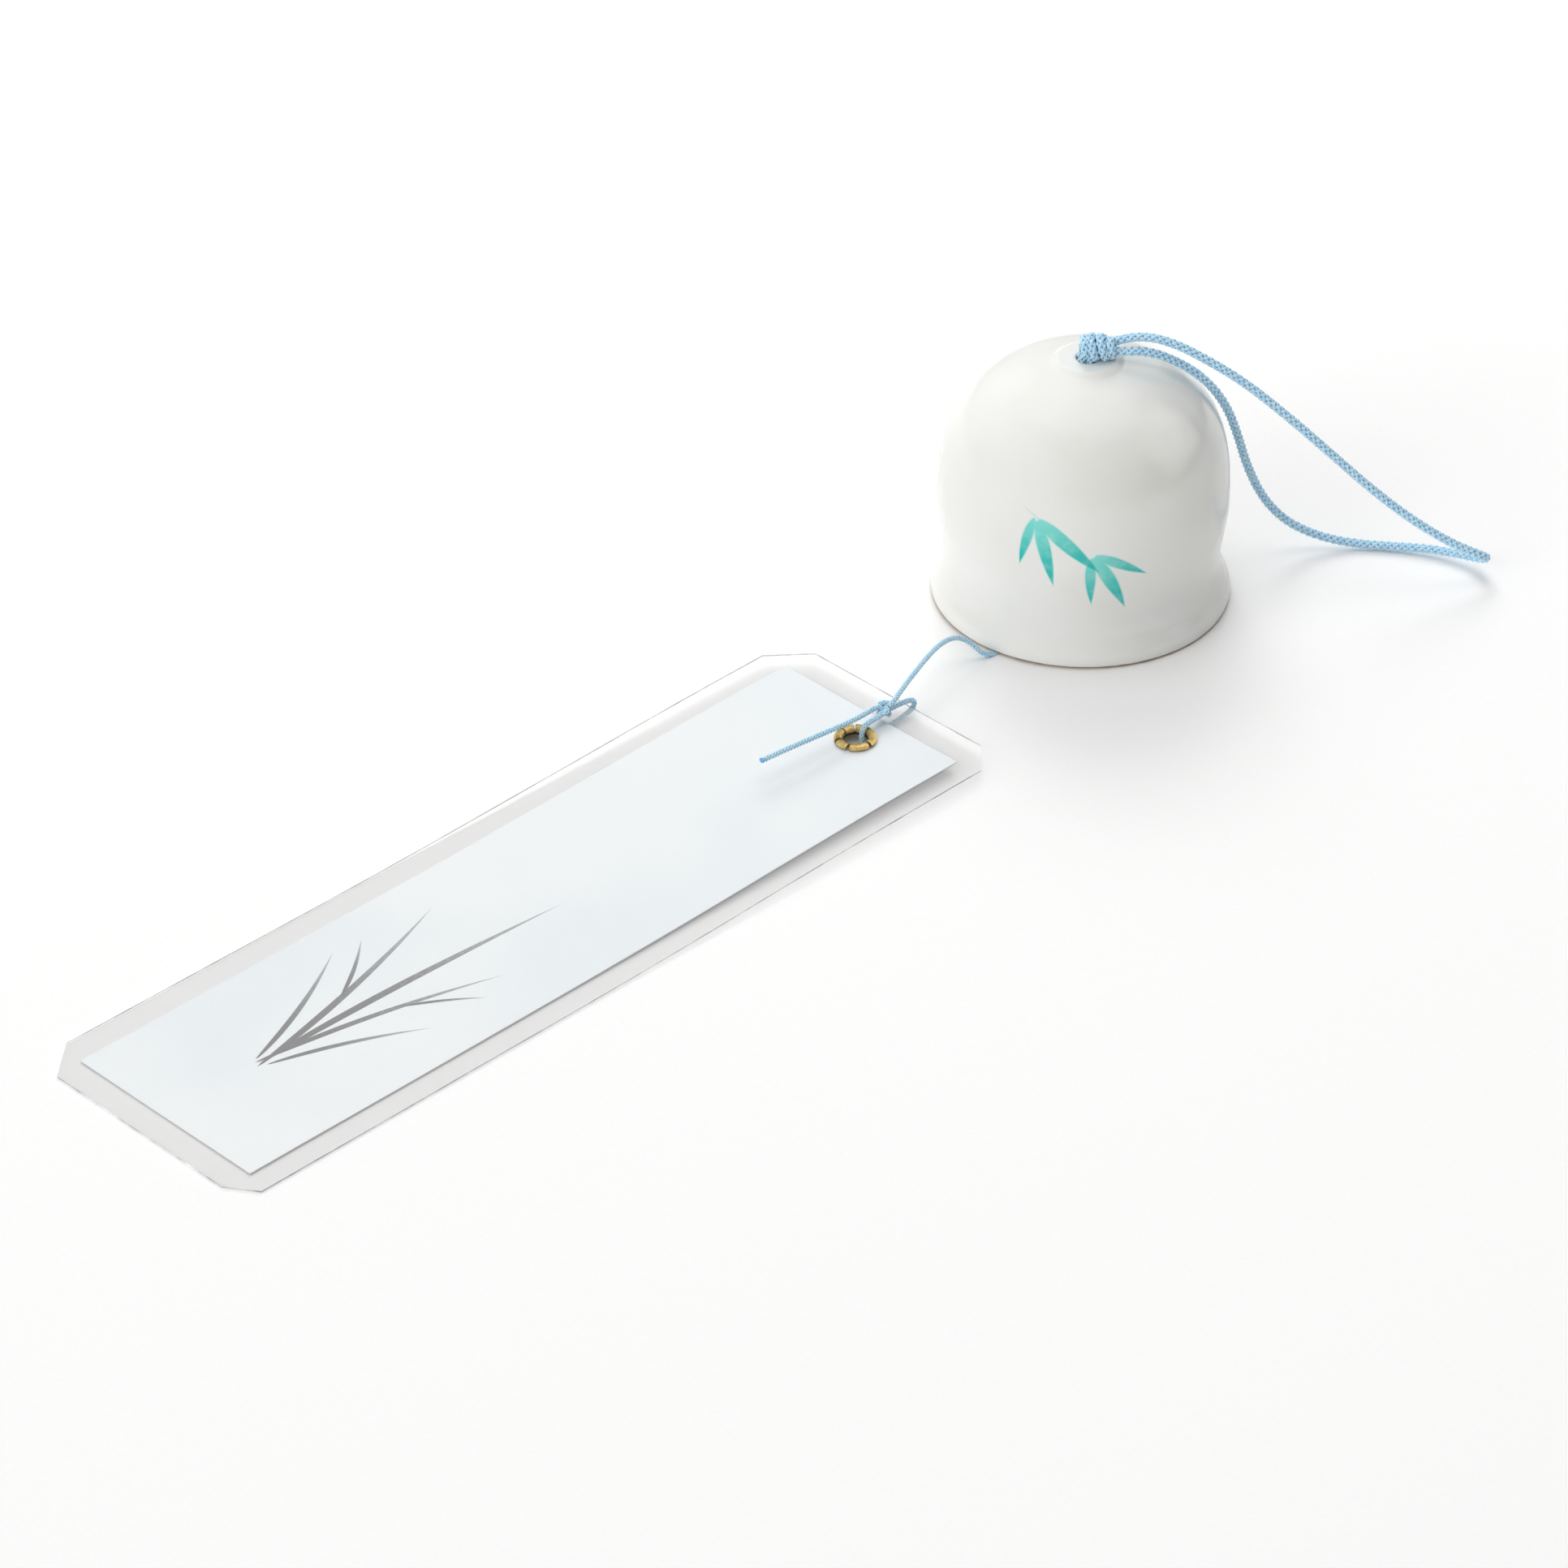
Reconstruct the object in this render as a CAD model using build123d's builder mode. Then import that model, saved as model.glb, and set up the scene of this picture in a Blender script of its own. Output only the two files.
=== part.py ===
from build123d import *
import math
import os

# Wind bell: a porcelain bell on a braided hanging loop, with a clapper inside and a laminated
# paper strip tied to the clapper's cord. It stands on a table, with the strip laid out beside it.
# Frame: origin on the table under the middle of the bell's foot, +Z up, the strip along -X.

# Cords
hanger_cord_diameter = 2.0
thin_cord_diameter = 1.2
cord_gap = 0.25
bend_run_share = 0.45

# Bell, measured from its own foot
foot_radius = 30.4
foot_width = 2.0
foot_round = 0.5
lip_flare = 0.6
lip_height = 1.6
waist_draw = 0.75
waist_height = 5.4
body_radius = 30.1
body_height = 22.8
crown_height = 54.9
wall = 2.4
boss_radius = 5.6
boss_rise = 0.4
bore_radius = 2.4
dome_shares = ((0.932, 0.5), (0.772, 0.75), (0.556, 0.9), (0.344, 0.97))

# Thin cord pressed flat where it runs out under the foot, its points measured from the foot's edge
pinch_thickness = 0.4
pinch_width = 2.0
pinch_clearance = 0.04
pinch_inner_point = (3.4, -4.0)
pinch_outer_point = (-1.4, -4.7)
relief_width = 5.0
relief_reach = 3.6
relief_depth = 0.05
pinch_flat_shares = (0.22, 0.78)
table_clearance = 0.02

# Knots of the hanging cord, above and below the bell's crown
hanger_heading = -45.0
hanger_knot_radius = 2.9
hanger_knot_length = 8.2
hanger_knot_shift = 1.9
hanger_knot_wraps = 3
inner_knot_radius = 3.3
inner_knot_length = 7.6
inner_knot_wraps = 3
knot_rest_gap = 0.05
knot_wrap_lean = 14.0
strand_spread = 0.05

# Hanging loop: points out from the bell along its heading, back from the photographed side, and up
hanger_route = (
    (6.8, 0.7, 59.5),
    (11.4, 0.7, 60.2),
    (17.0, 0.5, 59.0),
    (24.0, 0.3, 55.2),
    (32.2, 0.0, 49.8),
    (40.8, 0.0, 42.2),
    (49.6, 0.0, 33.7),
    (58.4, 0.2, 24.9),
    (67.2, 0.6, 17.0),
    (75.6, 1.3, 10.8),
    (81.2, 2.1, 7.6),
    (84.5, 3.7, 5.3),
    (83.7, 6.5, 3.1),
    (79.4, 9.9, 2.1),
    (73.0, 13.0, 1.5),
    (65.0, 14.5, 1.1),
    (57.0, 15.3, 1.3),
    (49.4, 15.1, 3.4),
    (42.6, 13.8, 8.0),
    (37.7, 11.8, 15.0),
    (34.1, 9.4, 24.0),
    (31.7, 6.8, 33.4),
    (28.8, 4.4, 42.2),
    (24.0, 2.4, 49.5),
    (17.8, 1.0, 54.5),
    (11.8, -0.2, 57.3),
    (6.8, -0.8, 57.4),
)

# Clapper: a glazed bead on the thin cord, carried by a stop knot. The cord's slack crosses to the foot,
# its points in plan as shares of the foot's radius.
clapper_radius = 8.0
clapper_height = 9.0
clapper_round = 2.2
clapper_bore_radius = 1.5
clapper_drop = 35.0
stop_knot_radius = 1.7
stop_knot_length = 3.4
stop_knot_wraps = 2
slack_shares = (
    (0.010, 0.0),
    (-0.013, 0.010),
    (-0.092, 0.033),
    (-0.243, 0.069),
    (-0.447, 0.059),
    (-0.638, -0.020),
    (-0.783, -0.092),
)
slack_heights = (5.6, 3.0, 1.1, 0.66, 0.64, 0.64, 0.62)
slack_end_gap = 0.1

# Strip: paper sealed between two clear films, its bell end raised by the cord under it
strip_raise = 2.0
film_length = 200.0
film_width = 60.0
film_thickness = 0.15
film_far_left_cut = (8.0, 6.8)
film_far_right_cut = (4.2, 6.2)
film_bell_left_cut = (8.1, 7.1)
film_bell_right_cut = (6.3, 6.0)
paper_far_margin = 6.2
paper_bell_margin = 7.6
paper_left_margin = 6.1
paper_right_margin = 5.4
paper_thickness = 0.25
pocket_gap = 0.6

# Eyelet through the strip, its top edge split and rolled outwards
eyelet_from_foot = 44.9
eyelet_y = -9.2
eyelet_from_bell_end = 16.4
eyelet_from_right = 25.1
eyelet_bore_radius = 2.65
eyelet_wall = 0.25
eyelet_flange_radius = 4.35
eyelet_flange_thickness = 0.3
eyelet_roll_height = 1.15
eyelet_slit_width = 0.9
eyelet_slit_angles = (155.0, 93.0, 47.0, 0.0, -91.0, -157.0)
eyelet_hole_clearance = 0.05
overrun = 1.0

# Thin cord outside the bell: its arch to the strip's knot, the loop through the eyelet, and the tail.
# Points are measured from the foot's edge on the strip's side.
tag_knot_place = (-35.6, -8.2, 4.75)
tag_knot_radius = 1.75
tag_knot_length = 3.4
tag_knot_wraps = 2
tag_route = (
    (-1.9, -4.75, 0.64),
    (-3.2, -4.6, 1.2),
    (-4.4, -3.6, 2.9),
    (-6.0, -2.4, 5.0),
    (-9.0, -1.7, 6.8),
    (-13.6, -2.3, 7.6),
    (-19.2, -4.0, 7.7),
    (-25.2, -6.0, 7.3),
    (-30.4, -7.7, 6.7),
    (-34.0, -9.0, 6.1),
)
loop_route = (
    (-37.5, -8.9, 4.5),
    (-40.2, -9.1, 4.7),
    (-42.3, -9.2, 4.4),
    (-43.2, -9.25, 3.1),
    (-43.2, -9.3, 1.4),
    (-42.6, -9.25, 0.68),
    (-40.2, -9.1, 0.66),
    (-35.2, -8.8, 0.72),
    (-30.0, -8.5, 0.84),
    (-27.4, -8.35, 1.45),
    (-27.1, -8.3, 2.9),
    (-28.8, -8.3, 3.8),
    (-31.4, -8.3, 4.1),
    (-33.6, -8.3, 4.2),
)
tail_route = (
    (-37.3, -7.3, 5.6),
    (-40.8, -7.8, 5.95),
    (-44.8, -8.0, 6.2),
    (-49.2, -7.9, 6.55),
    (-54.0, -7.6, 6.85),
    (-59.0, -7.2, 7.05),
    (-63.8, -6.75, 7.15),
    (-68.4, -6.3, 7.15),
)

# Bell's own plane: its foot stands on the cord at the strip's side and on the table opposite
rim_lift = pinch_thickness + pinch_clearance
lean = math.asin(rim_lift / (2 * foot_radius))
bell_plane = Plane(
    origin=(0, 0, rim_lift / 2),
    x_dir=(math.cos(lean), 0, -math.sin(lean)),
    z_dir=(math.sin(lean), 0, math.cos(lean)),
)
bell_axis = Axis(bell_plane.origin, bell_plane.z_dir)
bell_section = Plane(bell_plane.origin, x_dir=bell_plane.x_dir, z_dir=-bell_plane.y_dir)

# Hanging cord's plane: x out along its heading, y back, z up
hanger_plane = Plane(
    origin=(0, 0, 0),
    x_dir=(math.cos(math.radians(hanger_heading)), math.sin(math.radians(hanger_heading)), 0),
    z_dir=(0, 0, 1),
)

# Strip's plane: x towards the bell, on the underside of its back film, placed by the eyelet
strip_x = -foot_radius - eyelet_from_foot - film_length / 2 + eyelet_from_bell_end
strip_y = eyelet_y + film_width / 2 - eyelet_from_right
strip_slope = math.asin(strip_raise / film_length)
strip_plane = Plane(
    origin=(strip_x, strip_y, strip_raise / 2),
    x_dir=(math.cos(strip_slope), 0, math.sin(strip_slope)),
    z_dir=(-math.sin(strip_slope), 0, math.cos(strip_slope)),
)

# Foot's edge on the strip's side, which the points of the thin cord are measured from
foot_edge = Vector(-foot_radius, 0, 0)

os.makedirs("parts", exist_ok=True)


def bend_radii(points):
    """Radius at each corner of a route: as large as its two runs allow."""
    radii = []
    for before, corner, after in zip(points, points[1:], points[2:]):
        run_in = Vector(corner) - Vector(before)
        run_out = Vector(after) - Vector(corner)
        half_turn = math.radians(run_in.get_angle(run_out)) / 2
        radii.append(bend_run_share * min(run_in.length, run_out.length) / math.tan(half_turn))
    return radii


def cord(points, diameter, label):
    """Round cord along a route of straight runs and tangent arcs."""
    radii = bend_radii(points)
    with BuildPart() as tube:
        with BuildLine() as route:
            FilletPolyline(*points, radius=radii)
        path = route.wire()
        with BuildSketch(Plane(path @ 0, z_dir=path % 0)):
            Circle(diameter / 2)
        sweep(path=path)
    tube.part.label = label
    swept = math.pi * diameter**2 / 4 * path.length
    print(f"{label}: length {path.length:.1f}, volume over section times length", end=" ")
    print(f"{tube.part.volume / swept:.4f}, radii", *[f"{radius:.1f}" for radius in radii])
    return tube


def beside_foot(points):
    """Points of a route outside the bell, from its values at the foot's edge."""
    return [foot_edge + Vector(*point) for point in points]


def knot(place, radius, length, cord_diameter, wraps, label):
    """Tight knot: a rounded core along the plane's z, with leaning turns of cord round it."""
    turn_radius = radius - cord_diameter / 2
    with BuildPart(place) as tied:
        Cylinder(turn_radius, length)
        fillet(tied.edges().filter_by(GeomType.CIRCLE), turn_radius / 2)
        for turn in range(wraps):
            along = (turn - (wraps - 1) / 2) * cord_diameter
            side = 1 if turn % 2 else -1
            with Locations(Location((0, 0, along), (side * knot_wrap_lean, 0, 0))):
                Torus(turn_radius, cord_diameter / 2)
    tied.part.label = label
    return tied


# Thin cord's run under the foot
pinch_start = foot_edge + Vector(*pinch_inner_point)
pinch_run = foot_edge + Vector(*pinch_outer_point) - pinch_start
cord_middle = thin_cord_diameter / 2 + table_clearance
pinch_middle_y = pinch_start.Y + pinch_run.Y / 2

# Bell shell, with a relief in its foot over the cord
boss_top = crown_height + boss_rise
inner_crown = crown_height - wall
inner_radius = body_radius - wall
foot_inner_radius = foot_radius - foot_width
lip_radius = foot_radius + lip_flare
waist_radius = foot_radius - waist_draw
outer_dome = [(r * body_radius, body_height + h * (crown_height - body_height)) for r, h in dome_shares]
inner_dome = [(r * inner_radius, body_height + h * (inner_crown - body_height)) for r, h in dome_shares]
with BuildPart() as bell_shell:
    with BuildSketch(bell_section) as bell_profile:
        with BuildLine() as bell_outline:
            Line((foot_inner_radius + foot_round, 0), (foot_radius, 0))
            Spline((foot_radius, 0), (lip_radius, lip_height), tangents=[(1, 0), (0, 1)])
            Spline(
                (lip_radius, lip_height),
                (waist_radius, waist_height),
                (body_radius, body_height),
                tangents=[(0, 1), (0, 1), (0, 1)],
            )
            outer = Spline((body_radius, body_height), *outer_dome)
            Spline(outer @ 1, (boss_radius, boss_top), tangents=[outer % 1, (-1, 0)])
            Line((boss_radius, boss_top), (bore_radius, boss_top))
            Line((bore_radius, boss_top), (bore_radius, inner_crown))
            inner = Spline(
                (bore_radius, inner_crown),
                *reversed(inner_dome),
                (inner_radius, body_height),
                tangents=[(1, 0), (0, -1)],
            )
            inside = Spline(inner @ 1, (foot_inner_radius, foot_round), tangents=[inner % 1, (0, -1)])
            TangentArc(inside @ 1, (foot_inner_radius + foot_round, 0), tangent=inside % 1)
        make_face()
    revolve(axis=bell_axis)
    with BuildSketch(bell_plane):
        with Locations((-foot_radius, pinch_middle_y)):
            Rectangle(2 * relief_reach, relief_width)
    extrude(amount=relief_depth, mode=Mode.SUBTRACT)
bell_shell.part.label = "bell_shell"
export_step(bell_shell.part, "parts/bell_shell.step")

# Hanging cord's knot on the crown, with its length along the loop's heading
hanger_knot_height = boss_top + knot_rest_gap + hanger_knot_radius
hanger_knot_centre = bell_plane.from_local_coords(Vector(0, 0, hanger_knot_height))
hanger_knot_centre += hanger_plane.x_dir * hanger_knot_shift
hanger_knot = knot(
    Plane(hanger_knot_centre, x_dir=hanger_plane.y_dir, z_dir=hanger_plane.x_dir),
    hanger_knot_radius,
    hanger_knot_length,
    hanger_cord_diameter,
    hanger_knot_wraps,
    "hanger_knot",
)
export_step(hanger_knot.part, "parts/hanger_knot.step")

# Hanging cord's knot under the crown, which carries the bell
inner_knot_height = inner_crown - cord_gap - inner_knot_radius
inner_knot_centre = bell_plane.from_local_coords(Vector(0, 0, inner_knot_height))
inner_knot = knot(
    Plane(inner_knot_centre, x_dir=(1, 0, 0), z_dir=(0, 1, 0)),
    inner_knot_radius,
    inner_knot_length,
    hanger_cord_diameter,
    inner_knot_wraps,
    "inner_knot",
)
export_step(inner_knot.part, "parts/inner_knot.step")

# Hanging cord's two strands through the bore
neck_bottom = inner_knot_height + inner_knot_radius + knot_rest_gap
neck_top = hanger_knot_height - hanger_knot_radius - knot_rest_gap / 2
strand_offset = hanger_cord_diameter / 2 + strand_spread
with BuildPart() as hanger_neck:
    with BuildSketch(bell_plane.offset(neck_bottom)):
        with Locations((0, strand_offset), (0, -strand_offset)):
            Circle(hanger_cord_diameter / 2)
    extrude(amount=neck_top - neck_bottom)
hanger_neck.part.label = "hanger_neck"
export_step(hanger_neck.part, "parts/hanger_neck.step")

# Hanging loop
hanger_points = [hanger_plane.from_local_coords(Vector(*point)) for point in hanger_route]
hanger_loop = cord(hanger_points, hanger_cord_diameter, "hanger_loop")
export_step(hanger_loop.part, "parts/hanger_loop.step")

# Clapper's line: plumb under the inner knot, down to its stop knot
line_x = inner_knot_centre.X
line_y = inner_knot_centre.Y
line_top = inner_knot_centre.Z - inner_knot_radius - cord_gap
clapper_middle = inner_knot_centre.Z - clapper_drop
clapper_bottom = clapper_middle - clapper_height / 2
stop_knot_middle = clapper_bottom - cord_gap - stop_knot_radius
line_bottom = stop_knot_middle + stop_knot_radius
with BuildPart() as clapper_cord:
    with BuildSketch(Plane((line_x, line_y, line_bottom))):
        Circle(thin_cord_diameter / 2)
    extrude(amount=line_top - line_bottom)
clapper_cord.part.label = "clapper_cord"
export_step(clapper_cord.part, "parts/clapper_cord.step")

stop_knot = knot(
    Plane((line_x, line_y, stop_knot_middle), x_dir=(1, 0, 0), z_dir=(0, 1, 0)),
    stop_knot_radius,
    stop_knot_length,
    thin_cord_diameter,
    stop_knot_wraps,
    "stop_knot",
)
export_step(stop_knot.part, "parts/stop_knot.step")

# Clapper bead
with BuildPart() as clapper:
    with BuildSketch(Plane((line_x, line_y, clapper_bottom))):
        Circle(clapper_radius)
        Circle(clapper_bore_radius, mode=Mode.SUBTRACT)
    extrude(amount=clapper_height)
    bead_edges = clapper.edges().filter_by(GeomType.CIRCLE).group_by(SortBy.RADIUS)
    fillet(bead_edges[-1], clapper_round)
    fillet(bead_edges[0], clapper_round / 4)
clapper.part.label = "clapper"
export_step(clapper.part, "parts/clapper.step")

# Thin cord's slack inside the bell, from the stop knot down to the table and across to the foot
slack_points = [
    Vector(x * foot_radius, y * foot_radius, height) for (x, y), height in zip(slack_shares, slack_heights)
]
slack_points.append(pinch_start - pinch_run.normalized() * slack_end_gap + Vector(0, 0, cord_middle))
slack_cord = cord(slack_points, thin_cord_diameter, "slack_cord")
export_step(slack_cord.part, "parts/slack_cord.step")

# Thin cord pressed flat under the foot
flat_middle = pinch_thickness / 2
round_size = (thin_cord_diameter, thin_cord_diameter, cord_middle)
flat_size = (pinch_width, pinch_thickness, flat_middle)
pinch_stations = (
    (0, round_size),
    (pinch_flat_shares[0], flat_size),
    (pinch_flat_shares[1], flat_size),
    (1, round_size),
)
with BuildPart() as pinched_cord:
    for share, (across, thick, middle) in pinch_stations:
        station = pinch_start + pinch_run * share + Vector(0, 0, middle)
        with BuildSketch(Plane(station, x_dir=(-pinch_run.Y, pinch_run.X, 0), z_dir=pinch_run)):
            Ellipse(across / 2, thick / 2)
    loft(ruled=True)
pinched_cord.part.label = "pinched_cord"
export_step(pinched_cord.part, "parts/pinched_cord.step")

# Thin cord's arch from the foot to the strip's knot
tag_cord = cord(beside_foot(tag_route), thin_cord_diameter, "tag_cord")
export_step(tag_cord.part, "parts/tag_cord.step")

# Knot over the strip's bell end
tag_knot = knot(
    Plane(foot_edge + Vector(*tag_knot_place), x_dir=(1, 0, 0), z_dir=(0, 1, 0)),
    tag_knot_radius,
    tag_knot_length,
    thin_cord_diameter,
    tag_knot_wraps,
    "tag_knot",
)
export_step(tag_knot.part, "parts/tag_knot.step")

# Loop down through the eyelet, under the strip and back over its edge
tag_loop = cord(beside_foot(loop_route), thin_cord_diameter, "tag_loop")
export_step(tag_loop.part, "parts/tag_loop.step")

# Free tail of the thin cord
tag_tail = cord(beside_foot(tail_route), thin_cord_diameter, "tag_tail")
export_step(tag_tail.part, "parts/tag_tail.step")

# Strip's outlines, in its own plane
half_length = film_length / 2
half_width = film_width / 2
film_points = (
    (-half_length, half_width - film_far_left_cut[1]),
    (-half_length + film_far_left_cut[0], half_width),
    (half_length - film_bell_left_cut[0], half_width),
    (half_length, half_width - film_bell_left_cut[1]),
    (half_length, -half_width + film_bell_right_cut[1]),
    (half_length - film_bell_right_cut[0], -half_width),
    (-half_length + film_far_right_cut[0], -half_width),
    (-half_length, -half_width + film_far_right_cut[1]),
)
paper_length = film_length - paper_far_margin - paper_bell_margin
paper_width = film_width - paper_left_margin - paper_right_margin
paper_middle = (
    (paper_far_margin - paper_bell_margin) / 2,
    (paper_right_margin - paper_left_margin) / 2,
)
pocket_length = paper_length + 2 * pocket_gap
pocket_width = paper_width + 2 * pocket_gap
eyelet_middle = (half_length - eyelet_from_bell_end, -half_width + eyelet_from_right)
barrel_radius = eyelet_bore_radius + eyelet_wall
hole_radius = barrel_radius + eyelet_hole_clearance
paper_bottom = film_thickness
paper_top = paper_bottom + paper_thickness
strip_top = paper_top + film_thickness

# Paper strip
with BuildPart() as paper_strip:
    with BuildSketch(strip_plane.offset(paper_bottom)):
        with Locations(paper_middle):
            Rectangle(paper_length, paper_width)
        with Locations(eyelet_middle):
            Circle(hole_radius, mode=Mode.SUBTRACT)
    extrude(amount=paper_thickness)
paper_strip.part.label = "paper_strip"
export_step(paper_strip.part, "parts/paper_strip.step")

# Back film
with BuildPart() as back_film:
    with BuildSketch(strip_plane):
        Polygon(*film_points, align=None)
        with Locations(eyelet_middle):
            Circle(hole_radius, mode=Mode.SUBTRACT)
    extrude(amount=film_thickness)
back_film.part.label = "back_film"
export_step(back_film.part, "parts/back_film.step")

# Front film, sealed to the back one round the paper and stepped up over it
with BuildPart() as front_film:
    with BuildSketch(strip_plane.offset(paper_bottom)):
        Polygon(*film_points, align=None)
    extrude(amount=film_thickness)
    with BuildSketch(strip_plane.offset(paper_bottom)):
        with Locations(paper_middle):
            Rectangle(pocket_length + 2 * film_thickness, pocket_width + 2 * film_thickness)
    extrude(amount=paper_thickness + film_thickness)
    with BuildSketch(strip_plane.offset(paper_bottom)):
        with Locations(paper_middle):
            Rectangle(pocket_length, pocket_width)
    extrude(amount=paper_thickness, mode=Mode.SUBTRACT)
    with BuildSketch(strip_plane.offset(paper_bottom)):
        with Locations(eyelet_middle):
            Circle(hole_radius)
    extrude(amount=paper_thickness + 2 * film_thickness, mode=Mode.SUBTRACT)
front_film.part.label = "front_film"
export_step(front_film.part, "parts/front_film.step")

# Eyelet: flange under the strip, barrel through it, and a split rim rolled over its top
eyelet_plane = Plane(
    strip_plane.from_local_coords(Vector(*eyelet_middle)),
    x_dir=strip_plane.x_dir,
    z_dir=strip_plane.z_dir,
)
eyelet_section = Plane(eyelet_plane.origin, x_dir=eyelet_plane.x_dir, z_dir=-eyelet_plane.y_dir)
roll_radius = (eyelet_flange_radius - eyelet_bore_radius) / 2
roll_middle = (eyelet_flange_radius + eyelet_bore_radius) / 2
roll_spring = strip_top + eyelet_roll_height - roll_radius
roll_lip_radius = eyelet_flange_radius - eyelet_wall
with BuildPart() as eyelet:
    with BuildSketch(eyelet_section):
        with BuildLine():
            Polyline(
                (eyelet_bore_radius, roll_spring),
                (eyelet_bore_radius, -eyelet_flange_thickness),
                (eyelet_flange_radius, -eyelet_flange_thickness),
                (eyelet_flange_radius, 0),
                (barrel_radius, 0),
                (barrel_radius, roll_spring),
            )
            ThreePointArc(
                (barrel_radius, roll_spring),
                (roll_middle, roll_spring + roll_radius - eyelet_wall),
                (roll_lip_radius, roll_spring),
            )
            Polyline(
                (roll_lip_radius, roll_spring),
                (roll_lip_radius, strip_top),
                (eyelet_flange_radius, strip_top),
                (eyelet_flange_radius, roll_spring),
            )
            ThreePointArc(
                (eyelet_flange_radius, roll_spring),
                (roll_middle, roll_spring + roll_radius),
                (eyelet_bore_radius, roll_spring),
            )
        make_face()
    revolve(axis=Axis(eyelet_plane.origin, eyelet_plane.z_dir))
    slit_length = eyelet_flange_radius + overrun - barrel_radius
    slit_middle = barrel_radius + slit_length / 2
    with BuildSketch(eyelet_plane.offset(strip_top)):
        for angle in eyelet_slit_angles:
            with PolarLocations(slit_middle, 1, start_angle=angle):
                Rectangle(slit_length, eyelet_slit_width)
    extrude(amount=eyelet_roll_height + overrun, mode=Mode.SUBTRACT)
eyelet.part.label = "eyelet"
export_step(eyelet.part, "parts/eyelet.step")
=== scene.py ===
"""Wind bell: a porcelain bell on a braided hanging loop, with a laminated strip on its clapper's cord."""

import logging
import math
from dataclasses import dataclass, field
from enum import Enum
from typing import Callable, Optional, Sequence, TypeVar

import bpy
import numpy as np
from mathutils import Matrix, Vector, geometry, noise


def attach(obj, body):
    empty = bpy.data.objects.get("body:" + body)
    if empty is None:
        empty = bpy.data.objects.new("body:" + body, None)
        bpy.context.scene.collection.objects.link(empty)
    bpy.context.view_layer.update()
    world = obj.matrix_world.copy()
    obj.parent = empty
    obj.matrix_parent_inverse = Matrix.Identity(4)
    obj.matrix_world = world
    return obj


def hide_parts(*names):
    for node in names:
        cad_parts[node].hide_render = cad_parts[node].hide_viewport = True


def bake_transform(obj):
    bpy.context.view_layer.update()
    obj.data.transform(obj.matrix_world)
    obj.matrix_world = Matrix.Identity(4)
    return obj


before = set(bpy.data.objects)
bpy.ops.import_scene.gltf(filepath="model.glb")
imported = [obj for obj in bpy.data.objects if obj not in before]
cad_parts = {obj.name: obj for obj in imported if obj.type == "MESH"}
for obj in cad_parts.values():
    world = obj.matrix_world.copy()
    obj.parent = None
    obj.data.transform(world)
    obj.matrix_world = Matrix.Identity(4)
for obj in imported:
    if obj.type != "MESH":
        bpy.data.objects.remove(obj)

MM = 0.001
ROUTE_ORDER = 3
ROUTE_RESOLUTION = 24
LEAST_POINTS = 4
LEAST_RUN = 1e-9
EDGE_SLACK = 1e-7
LOG = logging.getLogger("wind_bell")

Colour = tuple[float, float, float]
Point = tuple[float, float, float]
Pair = tuple[float, float]
Socket = bpy.types.NodeSocket
Share = TypeVar("Share", float, np.ndarray)


class Body(str, Enum):
    """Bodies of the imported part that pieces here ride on."""

    BELL = "bell"
    HANGER = "hanger"
    CLAPPER_LINE = "clapper_line"
    TAG_LINE = "tag_line"
    TAG = "tag"


class Slot(str, Enum):
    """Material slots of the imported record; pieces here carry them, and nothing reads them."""

    BELL_GLAZE = "bell_glaze"
    HANGER_CORD = "hanger_cord"
    THIN_CORD = "thin_cord"
    PAPER = "paper"
    FILM = "film"
    EYELET_BRASS = "eyelet_brass"


class CordFace(int, Enum):
    """Material places of a braided piece."""

    YARN = 0
    CORE = 1


class SheetFace(int, Enum):
    """Material places of one of the strip's sheets."""

    TOP = 0
    EDGE = 1
    UNDER = 2


class FarEnd(str, Enum):
    """What a cord ends in; nothing here uses it."""

    OBJECT = "object"
    BARE = "bare"


class Lay(str, Enum):
    """How a cord lies; nothing here uses it."""

    LOOSE = "loose"
    TAUT = "taut"


def linear(colour: Colour) -> tuple[float, float, float, float]:
    """Turns a display colour into the renderer's linear one.

    Args:
        colour: Red, green and blue as seen on a screen, 0 to 1.

    Returns:
        The linear colour with an alpha of 1.
    """
    parts = [c / 12.92 if c <= 0.04045 else ((c + 0.055) / 1.055) ** 2.4 for c in colour]
    return (parts[0], parts[1], parts[2], 1.0)


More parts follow.
